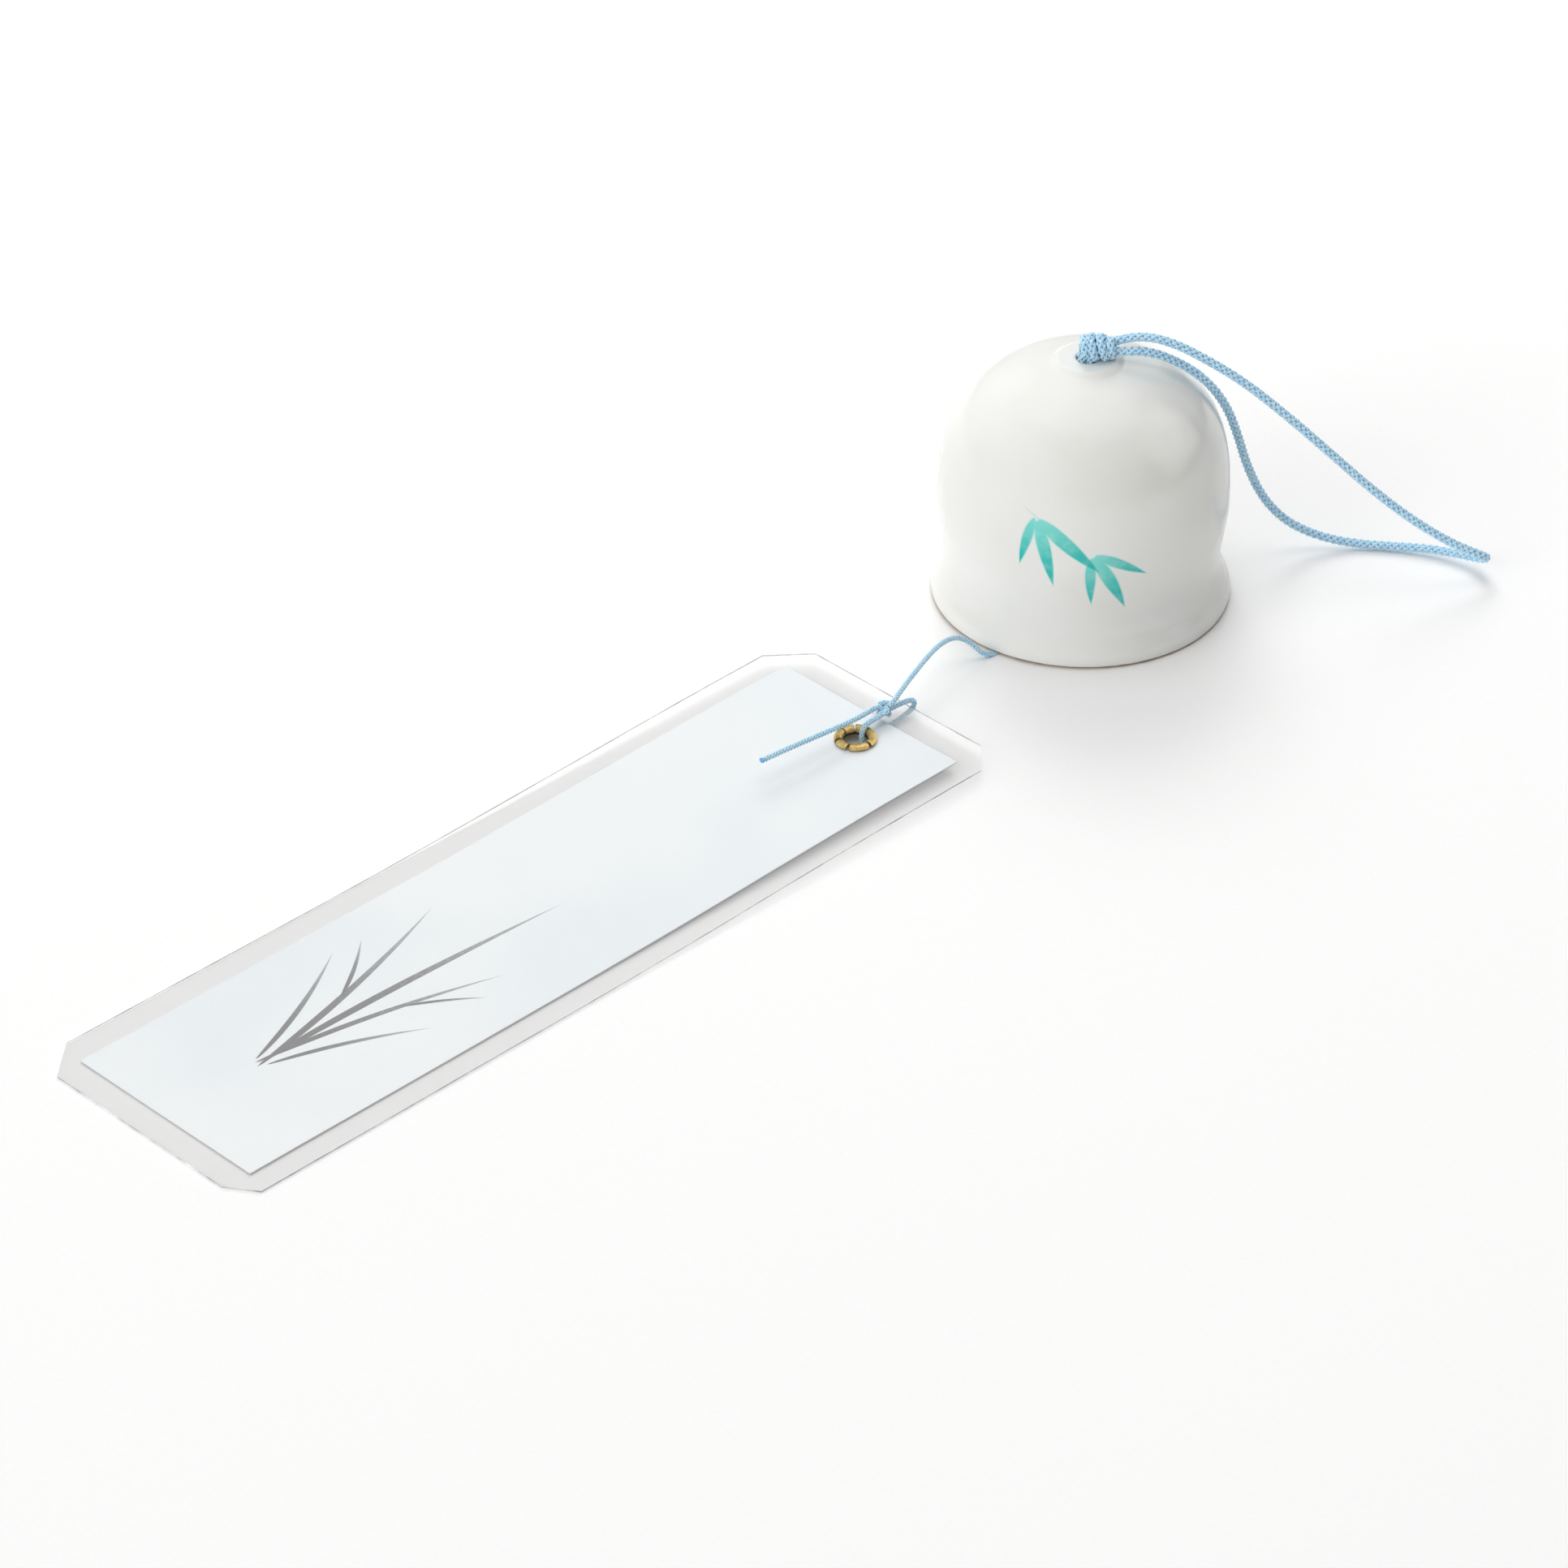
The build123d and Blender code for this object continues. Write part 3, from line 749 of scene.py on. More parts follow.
@dataclass
class CordMesh:
    """A mesh made up of closed tubes along one cord's middle line."""

    line: np.ndarray
    axes: tuple[np.ndarray, np.ndarray, np.ndarray]
    shape: np.ndarray
    runs: np.ndarray
    points: list[np.ndarray] = field(default_factory=list)
    uvs: list[np.ndarray] = field(default_factory=list)
    faces: list[list[int]] = field(default_factory=list)
    places: list[int] = field(default_factory=list)

    def add(self, tube: np.ndarray, place: CordFace) -> None:
        """Adds a closed tube.

        Args:
            tube: Rings of points in the line's side, second and forward directions.
            place: Material place of the tube's faces.
        """
        first = sum(len(p) for p in self.points)
        rings, around = tube.shape[:2]
        side, second, forward = self.axes
        placed = self.line[:, None, :] \
            + side[:, None, :] * (tube[:, :, 0] * self.shape[:, :1])[:, :, None] \
            + second[:, None, :] * (tube[:, :, 1] * self.shape[:, 1:])[:, :, None] \
            + forward[:, None, :] * tube[:, :, 2][:, :, None]
        self.points.append(placed.reshape(-1, 3))
        v = np.broadcast_to(np.arange(around) / around, (rings, around))
        u = np.broadcast_to(self.runs[:, None], (rings, around))
        self.uvs.append(np.stack([u, v], axis=2).reshape(-1, 2))
        number = first + np.arange(rings * around).reshape(rings, around)
        after = np.roll(number, -1, axis=1)
        quads = np.stack([number[:-1], after[:-1], after[1:], number[1:]], axis=2).reshape(-1, 4)
        caps = [number[0, ::-1].tolist(), number[-1].tolist()]
        self.faces += quads.tolist() + caps
        self.places += [place.value] * (len(quads) + len(caps))

    def piece(self, name: str, yarn: bpy.types.Material, core: bpy.types.Material) -> bpy.types.Object:
        """Makes the piece, with UVs that run along and round each tube.

        Args:
            name: The piece's name.
            yarn: Material of its strands.
            core: Material of its core, dark as painted shade in the gaps.

        Returns:
            The linked object.
        """
        made = mesh_object(name, np.concatenate(self.points) * MM, self.faces, (yarn, core))
        made.data.polygons.foreach_set("material_index", self.places)
        layer = made.data.uv_layers.new(name="UVMap")
        flat = np.concatenate(self.uvs)
        loops = np.zeros(len(made.data.loops), np.int32)
        made.data.loops.foreach_get("vertex_index", loops)
        layer.data.foreach_set("uv", flat[loops].astype(np.float32).ravel())
        return made


@dataclass
class Braid:
    """A round braided cord: strands that wind both ways round a core, each over and under the next."""

    diameter: float
    stitch: float
    yarn: bpy.types.Material
    core: bpy.types.Material
    slot: Slot
    strands: int = 4
    middle_share: float = 0.305
    swell_share: float = 0.085
    thick_share: float = 0.24
    wide_share: float = 0.30
    core_share: float = 0.27
    steps_per_stitch: int = 8
    ring: int = 8
    core_ring: int = 10

    def step(self) -> float:
        """Distance between the rings of a strand."""
        return self.stitch / self.steps_per_stitch

    def dress(self, name: str, line: np.ndarray, squeeze: Optional[np.ndarray] = None,
              up: Optional[Point] = None) -> bpy.types.Object:
        """Braids a cord along a line.

        Args:
            name: The piece's name.
            line: Points evenly along its middle, in millimetres.
            squeeze: Where given, how wide and how thick it is at each point, as shares.
            up: Where given, the direction that its thickness is measured along.

        Returns:
            The braided piece.
        """
        runs = np.concatenate([[0.0], np.cumsum(np.linalg.norm(np.diff(line, axis=0), axis=1))])
        shape = np.ones((len(line), 2)) if squeeze is None else squeeze
        mesh = CordMesh(line, carried_frames(line, up), shape, runs)
        rate = 2.0 * math.pi / (self.strands * self.stitch)
        phase = self.strands * rate * runs
        for way in (1.0, -1.0):
            radius = self.diameter * (self.middle_share + way * self.swell_share * np.cos(phase))
            for strand in range(self.strands):
                angle = 2.0 * math.pi * strand / self.strands + way * rate * runs
                mesh.add(self.strand_tube(angle, radius, way * rate), CordFace.YARN)
        turn = np.linspace(0.0, 2.0 * math.pi, self.core_ring, endpoint=False)
        ring = np.stack([np.cos(turn), np.sin(turn), np.zeros_like(turn)], axis=1)
        core = self.diameter * self.core_share * ring
        # The core's dark material is painted shade, seen in the gaps between the strands.
        mesh.add(np.repeat(core[None], len(line), axis=0), CordFace.CORE)
        made = mesh.piece(name, self.yarn, self.core)
        return made

    def strand_tube(self, angle: np.ndarray, radius: np.ndarray, rate: float) -> np.ndarray:
        """Local points of one flattened strand.

        Args:
            angle: Its place round the cord at each ring.
            radius: Its distance from the cord's middle at each ring.
            rate: How fast it winds, in radians per millimetre.

        Returns:
            Rings of points in the line's side, second and forward directions.
        """
        turn = np.linspace(0.0, 2.0 * math.pi, self.ring, endpoint=False)
        out = np.stack([np.cos(angle), np.sin(angle), np.zeros_like(angle)], axis=1)
        round_it = np.stack([-np.sin(angle), np.cos(angle), np.zeros_like(angle)], axis=1)
        across = round_it - np.outer(radius * rate, (0.0, 0.0, 1.0))
        across /= np.linalg.norm(across, axis=1)[:, None]
        half_wide = self.diameter * self.wide_share / 2
        half_thick = self.diameter * self.thick_share / 2
        return (out * radius[:, None])[:, None, :] \
            + across[:, None, :] * (half_wide * np.cos(turn))[None, :, None] \
            + out[:, None, :] * (half_thick * np.sin(turn))[None, :, None]


@dataclass
class KnotForm:
    """A tight overhand knot: its cord's middle line, drawn up in its own axes."""

    centre: Point
    along: Point
    up: Point
    half_length: float
    half_width: float
    half_height: float
    turn: float = 0.0
    fine: int = 480
    unit_reach: float = 2.55

    def line(self, step: float) -> np.ndarray:
        """Points evenly along the knot's closed line.

        Args:
            step: Distance between the points, in millimetres.

        Returns:
            The points, in the row frame and in millimetres.
        """
        t = np.linspace(0.0, 2.0 * math.pi, self.fine)
        first = (np.sin(t) + 2.0 * np.sin(2.0 * t)) / self.unit_reach
        second = (np.cos(t) - 2.0 * np.cos(2.0 * t)) / self.unit_reach
        third = -np.sin(3.0 * t)
        c, s = math.cos(math.radians(self.turn)), math.sin(math.radians(self.turn))
        first, second = c * first - s * second, s * first + c * second
        along = np.array(self.along, float)
        along /= np.linalg.norm(along)
        side = np.cross(np.array(self.up, float), along)
        side /= np.linalg.norm(side)
        up = np.cross(along, side)
        line = np.array(self.centre) + np.outer(first * self.half_length, along) \
            + np.outer(second * self.half_height, up) + np.outer(third * self.half_width, side)
        return even_line(line, step)


@dataclass
class WoundKnot:
    """A fat knot seen as two lobes of doubled cord that lean the same way, with a crease between them."""

    centre: Point
    along: Point
    up: Point
    turns: tuple[float, ...] = (0.0, 0.25, 0.8, 1.2, 1.8, 2.2, 2.8, 3.2, 3.75, 4.0)
    places: tuple[float, ...] = (-3.2, -2.65, -2.45, -1.02, -0.98, 0.98, 1.02, 2.45, 2.65, 3.2)
    reaches: tuple[float, ...] = (0.2, 1.6, 1.8, 2.1, 2.1, 2.1, 2.1, 1.8, 1.6, 0.2)
    lean: float = 0.75
    half_length: float = 3.6
    points_a_turn: int = 12

    def line(self, step: float) -> np.ndarray:
        """Points evenly along the wound cord's middle.

        Args:
            step: Distance between the points, in millimetres.

        Returns:
            The points, in the row frame and in millimetres.
        """
        along = np.array(self.along, float)
        side = np.cross(np.array(self.up, float), along)
        up = np.cross(along, side)
        count = int(self.turns[-1] * self.points_a_turn) + 1
        route = []
        for turn in np.linspace(self.turns[0], self.turns[-1], count):
            angle = 2.0 * math.pi * turn + math.pi / 2.0
            place = float(np.interp(turn, self.turns, self.places))
            reach = float(np.interp(turn, self.turns, self.reaches))
            place -= self.lean * (1.0 - (place / self.half_length) ** 2) * math.cos(angle)
            off = reach * (math.sin(angle) * side + math.cos(angle) * up)
            route.append(np.array(self.centre) + place * along + off)
        return route_line([tuple(p) for p in route], step)


@dataclass
class BellShell:
    """Slip-cast porcelain bell, turned about its leaning axis."""

    foot_inner: float = 28.4
    foot_outer: float = 30.4
    foot_round: float = 0.5
    lip: Pair = (31.0, 1.6)
    waist: Pair = (29.65, 5.4)
    body: Pair = (30.1, 22.8)
    crown: float = 54.9
    wall: float = 2.4
    boss: Pair = (5.8, 55.3)
    boss_side: Pair = (6.75, 54.9)
    boss_foot: Pair = (7.7, 54.4)
    boss_slope: Pair = (-1.0, 0.14)
    bore: float = 2.4
    dome_shares: tuple[Pair, ...] = ((0.932, 0.5), (0.772, 0.75), (0.556, 0.9), (0.344, 0.97))
    rim_lift: float = 0.44
    bore_round: float = 0.5
    bare_height: float = 0.42
    bare_margin: float = 1.0
    foot_steps: int = 7
    lip_steps: int = 14
    wall_steps: int = 22
    dome_steps: int = 14
    boss_steps: int = 8
    bore_steps: int = 5
    throat_steps: int = 4
    inner_dome_steps: int = 10
    inner_wall_steps: int = 24
    around: int = 288

    @staticmethod
    def through(points: Sequence[Pair], start: Pair,
                end: Pair, steps: int) -> np.ndarray:
        """A smooth line through points with set directions at its ends.

        Args:
            points: Radius and height of each point.
            start: Direction at the first point.
            end: Direction at the last point.
            steps: Points on each run.

        Returns:
            Points on the line, without its last one.
        """
        p = np.array(points, float)
        runs = np.linalg.norm(np.diff(p, axis=0), axis=1)
        count = len(p)
        system, right = np.zeros((count, count)), np.zeros((count, 2))
        system[0, 0] = system[-1, -1] = 1.0
        right[0] = np.array(start) / np.linalg.norm(start)
        right[-1] = np.array(end) / np.linalg.norm(end)
        for i in range(1, count - 1):
            before, after = runs[i - 1], runs[i]
            system[i, i - 1: i + 2] = (after, 2.0 * (before + after), before)
            right[i] = 3.0 * (after * (p[i] - p[i - 1]) / before + before * (p[i + 1] - p[i]) / after)
        slopes = np.linalg.solve(system, right)
        line = []
        for i, run in enumerate(runs):
            t = np.linspace(0.0, 1.0, steps, endpoint=False)[:, None]
            line.append((2 * t**3 - 3 * t**2 + 1) * p[i] + (t**3 - 2 * t**2 + t) * run * slopes[i]
                        + (3 * t**2 - 2 * t**3) * p[i + 1] + (t**3 - t**2) * run * slopes[i + 1])
        return np.concatenate(line)

    def dome(self, body: Pair, crown: float) -> list[Pair]:
        """Radius and height up a dome, from the body's widest place to near the crown."""
        rise = crown - body[1]
        return [body] + [(r * body[0], body[1] + h * rise) for r, h in self.dome_shares]

    def profile(self) -> np.ndarray:
        """Radius and height round the wall's section: from the foot up the outside, then down the inside."""
        outwards, inwards, upwards, downwards = (1, 0), (-1, 0), (0, 1), (0, -1)
        inner_body = (self.body[0] - self.wall, self.body[1])
        inner_crown = self.crown - self.wall
        bore_top = (self.bore + self.bore_round, self.boss[1])
        bore_side = (self.bore, self.boss[1] - self.bore_round)
        throat = (self.bore, inner_crown)
        foot_top = (self.foot_inner, self.foot_round)
        outer = self.dome(self.body, self.crown)
        inner = self.dome(inner_body, inner_crown)
        inside, bend = self.foot_inner, self.foot_round
        rounding = [(inside + bend * (1 - math.sin(a)), bend * (1 - math.cos(a)))
                    for a in np.linspace(math.pi / 2, 0.0, self.foot_steps)]
        runs = (
            ([(self.foot_outer, 0.0), self.lip], outwards, upwards, self.lip_steps),
            ([self.lip, self.waist, self.body], upwards, upwards, self.wall_steps),
            (outer + [self.boss_foot], upwards, self.boss_slope, self.dome_steps),
            ([self.boss_foot, self.boss_side, self.boss], self.boss_slope, inwards, self.boss_steps),
            ([self.boss, bore_top], inwards, inwards, self.bore_steps),
            ([bore_top, bore_side], inwards, downwards, self.bore_steps),
            ([bore_side, throat], downwards, downwards, self.throat_steps),
            ([throat] + inner[::-1], outwards, downwards, self.inner_dome_steps),
            ([inner_body, foot_top], downwards, downwards, self.inner_wall_steps),
        )
        return np.concatenate([np.array(rounding)] + [self.through(*run) for run in runs])

    def build(self, glaze: bpy.types.Material, biscuit: bpy.types.Material) -> None:
        """Turns the shell and dresses it.

        Args:
            glaze: Material of the glazed wall.
            biscuit: Material of the bare foot.
        """
        section = self.profile()
        lean = math.asin(self.rim_lift / (2 * self.foot_outer))
        tilt = Matrix.Translation((0, 0, self.rim_lift / 2)) @ Matrix.Rotation(lean, 4, "Y")
        turn = np.linspace(0.0, 2.0 * math.pi, self.around, endpoint=False)
        rings = np.stack([section[:, :1] * np.cos(turn), section[:, :1] * np.sin(turn),
                          np.repeat(section[:, 1:], self.around, axis=1)], axis=2).reshape(-1, 3)
        placed = rings @ np.array(tilt.to_3x3()).T + np.array(tilt.translation)
        number = np.arange(len(rings)).reshape(len(section), self.around)
        below, after = np.roll(number, -1, axis=0), np.roll(number, -1, axis=1)
        quads = np.stack([number, after, np.roll(below, -1, axis=1), below], axis=2).reshape(-1, 4)
        made = mesh_object("bell_porcelain", placed * MM, quads, (glaze, biscuit))
        heights = np.maximum(section[:, 1], np.roll(section[:, 1], -1))
        bare = (heights < self.bare_height) & (section[:, 0] > self.foot_inner - self.bare_margin)
        made.data.polygons.foreach_set("material_index", np.repeat(bare.astype(int), self.around).tolist())
        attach(made, Body.BELL.value)
        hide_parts("bell_shell")


@dataclass
class HangingCord:
    """The 2.0 mm cord: its knot on the crown, its neck through the bore, its inner knot and its loop."""

    braid: Braid
    heading: float = -45.0
    knot_centre: Point = (1.41, -1.70, 58.15)
    inner_centre: Point = (0.354, 0.0, 49.169)
    inner_halves: Point = (2.8, 2.0, 2.1)
    neck_places: tuple[Pair, ...] = ((-1.2, -1.05), (0.6, -1.35))
    neck_heights: Pair = (51.6, 57.5)
    loop_length: float = 0.2122
    route: tuple[Point, ...] = (
        (4.2, 0.6, 58.6), (6.8, 0.7, 59.5), (11.4, 0.7, 60.2), (17.0, 0.5, 59.0), (24.0, 0.3, 55.2),
        (32.2, 0.0, 49.8), (40.8, 0.0, 42.2), (49.6, 0.0, 33.7), (58.4, 0.2, 24.9), (67.2, 0.6, 17.0),
        (75.6, 1.3, 10.8), (81.2, 2.1, 7.6), (84.5, 3.7, 5.3), (83.7, 6.5, 3.1), (79.4, 9.9, 2.1),
        (73.0, 13.0, 1.5), (65.0, 14.5, 1.1), (57.0, 15.3, 1.3), (49.4, 15.1, 3.4), (42.6, 13.8, 8.0),
        (37.7, 11.8, 15.0), (34.1, 9.4, 24.0), (31.7, 6.8, 33.4), (28.8, 4.4, 42.2), (24.0, 2.4, 49.5),
        (17.8, 1.0, 54.5), (11.8, -0.2, 57.3), (6.8, -0.8, 57.4), (4.2, -0.6, 57.6),
    )

    def in_row(self) -> list[Point]:
        """The loop's points in the row frame, in millimetres."""
        c, s = math.cos(math.radians(self.heading)), math.sin(math.radians(self.heading))
        return [(out * c - back * s, out * s + back * c, up) for out, back, up in self.route]

    def build(self) -> None:
        """Braids the knots, the neck and the loop."""
        out = (math.cos(math.radians(self.heading)), math.sin(math.radians(self.heading)), 0.0)
        knot = WoundKnot(self.knot_centre, out, (0, 0, 1))
        tied = self.braid.dress("hanger_knot_tied", knot.line(self.braid.step()))
        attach(tied, Body.BELL.value)
        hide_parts("hanger_knot")
        inner = KnotForm(self.inner_centre, (0, 1, 0), (0, 0, 1), *self.inner_halves)
        held = self.braid.dress("inner_knot_tied", inner.line(self.braid.step()))
        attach(held, Body.BELL.value)
        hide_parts("inner_knot")
        low, high = self.neck_heights
        for number, (ahead, back) in enumerate(self.neck_places):
            x = self.inner_centre[0] + ahead * out[0] - back * out[1]
            y = self.inner_centre[1] + ahead * out[1] + back * out[0]
            strand = route_line([(x, y, low), (x, y, (low + high) / 2), (x, y, high)], self.braid.step())
            neck = self.braid.dress(f"hanger_neck_strand_{number}", strand)
            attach(neck, Body.BELL.value)
            if number == 0:
                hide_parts("hanger_neck")
        line = route_line(self.in_row(), self.braid.step())
        loop = self.braid.dress("hanger_loop_braid", line)
        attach(loop, Body.HANGER.value)
        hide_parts("hanger_loop")


@dataclass
class ThinCord:
    """The 1.2 mm cord: it holds the clapper, runs out under the foot and ties the strip."""

    braid: Braid
    melted: bpy.types.Material
    line_x: float = 0.354
    line_top: float = 46.9
    line_foot: float = 8.2
    line_length: float = 0.0387
    stop_centre: Point = (0.354, 0.0, 7.72)
    stop_halves: Point = (1.15, 1.0, 1.05)
    slack_length: float = 0.0321
    pinch_from: Point = (-26.6, -3.94, 0.62)
    pinch_to: Point = (-32.6, -4.82, 0.62)
    pinch_width: float = 2.0
    pinch_thick: float = 0.4
    pinch_ramp: float = 0.28
    round_middle: float = 0.62
    arch_length: float = 0.0375
    knot_centre: Point = (-66.0, -8.2, 4.75)
    knot_along: Point = (0.93, 0.36, 0.0)
    knot_halves: Point = (1.25, 0.95, 1.15)
    knot_turn: float = 35.0
    loop_length: float = 0.0332
    tail_length: float = 0.0325
    tip_radius: float = 0.62
    tip_shares: Point = (1.05, 0.86, 0.62)
    tip_segments: tuple[int, int] = (20, 14)
    tip_grain: float = 2.4
    tip_flare: float = 0.16
    tip_sink: float = 0.12
    tip_back: int = 4
    slack_route: tuple[Point, ...] = (
        (0.3, 0.0, 6.6), (0.3, 0.0, 5.6), (-0.4, 0.3, 3.0), (-2.8, 1.0, 1.1), (-7.4, 2.1, 0.66),
        (-13.6, 1.8, 0.64), (-19.4, -0.6, 0.64), (-23.8, -2.8, 0.62), (-26.9, -3.98, 0.62),
    )
    tag_route: tuple[Point, ...] = (
        (-32.3, -4.75, 0.64), (-33.6, -4.6, 1.2), (-34.8, -3.6, 2.9), (-36.4, -2.4, 5.0), (-39.4, -1.7, 6.8),
        (-44.0, -2.3, 7.6), (-49.6, -4.0, 7.7), (-55.6, -6.0, 7.3), (-60.8, -7.7, 6.7), (-64.4, -9.0, 6.1),
        (-65.6, -8.9, 5.6),
    )
    loop_route: tuple[Point, ...] = (
        (-66.6, -8.7, 4.4), (-67.9, -8.9, 4.5), (-70.6, -9.1, 4.7), (-72.7, -9.2, 4.4), (-73.6, -9.25, 3.1),
        (-73.6, -9.3, 1.4), (-73.0, -9.25, 0.68), (-70.6, -9.1, 0.66), (-65.6, -8.8, 0.72),
        (-60.4, -8.5, 0.84), (-57.8, -8.35, 1.45), (-57.5, -8.3, 2.9), (-59.2, -8.3, 3.8),
        (-61.8, -8.3, 4.1), (-64.0, -8.3, 4.2), (-65.2, -8.3, 4.3),
    )
    tail_route: tuple[Point, ...] = (
        (-66.4, -7.6, 5.3), (-67.7, -7.3, 5.6), (-71.2, -7.8, 5.95), (-75.2, -8.0, 6.2), (-79.6, -7.9, 6.55),
        (-84.4, -7.6, 6.85), (-89.4, -7.2, 7.05), (-94.2, -6.75, 7.15), (-98.8, -6.3, 7.15),
    )

    def build(self) -> None:
        """Braids every stretch of the cord and its knots."""
        self.build_inside()
        self.build_pinch()
        self.build_outside()

    def stretch(self, name: str, route: Sequence[Point], node: str,
                body: Optional[Body]) -> tuple[bpy.types.Object, np.ndarray]:
        """Braids one stretch along its route.

        Args:
            name: The piece's name.
            route: Its points, in millimetres.
            node: The node that it stands for.
            body: What it rides on, or None where it rides on nothing.

        Returns:
            The piece and its middle line.
        """
        line = route_line(route, self.braid.step())
        made = self.braid.dress(name, line)
        if body is not None:
            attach(made, body.value)
        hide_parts(node)
        return made, line

    def build_inside(self) -> None:
        """The clapper's line, its stop knot and the slack across the table."""
        x, top, foot = self.line_x, self.line_top, self.line_foot
        plumb = [(x, 0.0, top), (x, 0.0, 0.5 * (top + foot)), (x, 0.0, foot)]
        hung, line = self.stretch("clapper_line_braid", plumb, "clapper_cord", Body.CLAPPER_LINE)
        stop = KnotForm(self.stop_centre, (0, 1, 0), (0, 0, 1), *self.stop_halves)
        tied = self.braid.dress("stop_knot_tied", stop.line(self.braid.step()))
        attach(tied, Body.CLAPPER_LINE.value)
        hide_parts("stop_knot")
        slack, line = self.stretch("slack_braid", self.slack_route, "slack_cord", None)
        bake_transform(slack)

    def build_pinch(self) -> None:
        """The short run that the foot presses flat."""
        line = route_line([self.pinch_from, self.pinch_mid(), self.pinch_to], self.braid.step())
        share = np.linspace(0.0, 1.0, len(line))
        near_end = np.minimum(share / self.pinch_ramp, (1.0 - share) / self.pinch_ramp)
        press = eased(np.clip(near_end, 0.0, 1.0))
        wide = 1.0 + press * (self.pinch_width / self.braid.diameter - 1.0)
        thick = 1.0 + press * (self.pinch_thick / self.braid.diameter - 1.0)
        line[:, 2] = self.round_middle + press * (self.pinch_thick / 2 - self.round_middle)
        flat = self.braid.dress("pinched_braid", line, np.stack([wide, thick], axis=1), (0.0, 0.0, 1.0))
        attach(flat, Body.BELL.value)
        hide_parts("pinched_cord")

    def pinch_mid(self) -> Point:
        """Middle of the pressed run."""
        return tuple(0.5 * (a + b) for a, b in zip(self.pinch_from, self.pinch_to))

    def build_outside(self) -> None:
        """The arch to the strip, the strip's knot, the loop through its eyelet and the tail."""
        arch, line = self.stretch("tag_arch_braid", self.tag_route, "tag_cord", Body.TAG_LINE)
        knot = KnotForm(self.knot_centre, self.knot_along, (0, 0, 1), *self.knot_halves, self.knot_turn)
        tied = self.braid.dress("tag_knot_tied", knot.line(self.braid.step()))
        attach(tied, Body.TAG.value)
        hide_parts("tag_knot")
        loop, line = self.stretch("tag_loop_braid", self.loop_route, "tag_loop", Body.TAG)
        tail, line = self.stretch("tag_tail_braid", self.tail_route, "tag_tail", Body.TAG)
        tip = self.melted_tip(line)

    def melted_tip(self, line: np.ndarray) -> bpy.types.Object:
        """The tail's heat-sealed end: a small uneven bead.

        Args:
            line: The tail's middle line.

        Returns:
            The bead.
        """
        forward = line[-1] - line[-self.tip_back]
        turn = Vector(forward).to_track_quat("Z", "Y").to_matrix().to_4x4()
        middle = line[-1] - self.tip_sink * forward / np.linalg.norm(forward)
        place = Matrix.Scale(MM, 4) @ Matrix.Translation(middle) @ turn
        around, bands = self.tip_segments
        ball = [(0.0, 0.0, 1.0)]
        for fall in np.linspace(0.0, math.pi, bands + 1)[1:-1]:
            ball += [(math.sin(fall) * math.cos(a), math.sin(fall) * math.sin(a), math.cos(fall))
                     for a in np.linspace(0.0, 2.0 * math.pi, around, endpoint=False)]
        ball.append((0.0, 0.0, -1.0))
        points = []
        for spot in ball:
            even = Vector(spot) * self.tip_radius
            flare = 1.0 + self.tip_flare * noise.noise(even * self.tip_grain)
            points.append(place @ (Vector([c * share for c, share in zip(even, self.tip_shares)]) * flare))
        number = np.arange(1, len(ball) - 1).reshape(bands - 1, around)
        after = np.roll(number, -1, axis=1)
        faces = [(0, a, b) for a, b in zip(number[0], after[0])]
        faces += np.stack([number[:-1], number[1:], after[1:], after[:-1]], axis=2).reshape(-1, 4).tolist()
        faces += [(len(ball) - 1, b, a) for a, b in zip(number[-1], after[-1])]
        tip = mesh_object("tag_tail_tip", np.array(points), faces, (self.melted,))
        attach(tip, Body.TAG.value)
        return tip


@dataclass
class Clapper:
    """Glazed bead on the thin cord."""

    node: str = "clapper"

    def dress(self, glaze: bpy.types.Material) -> None:
        """Gives the bead its glaze."""
        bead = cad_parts[self.node]
        bead.data.materials.clear()
        bead.data.materials.append(glaze)


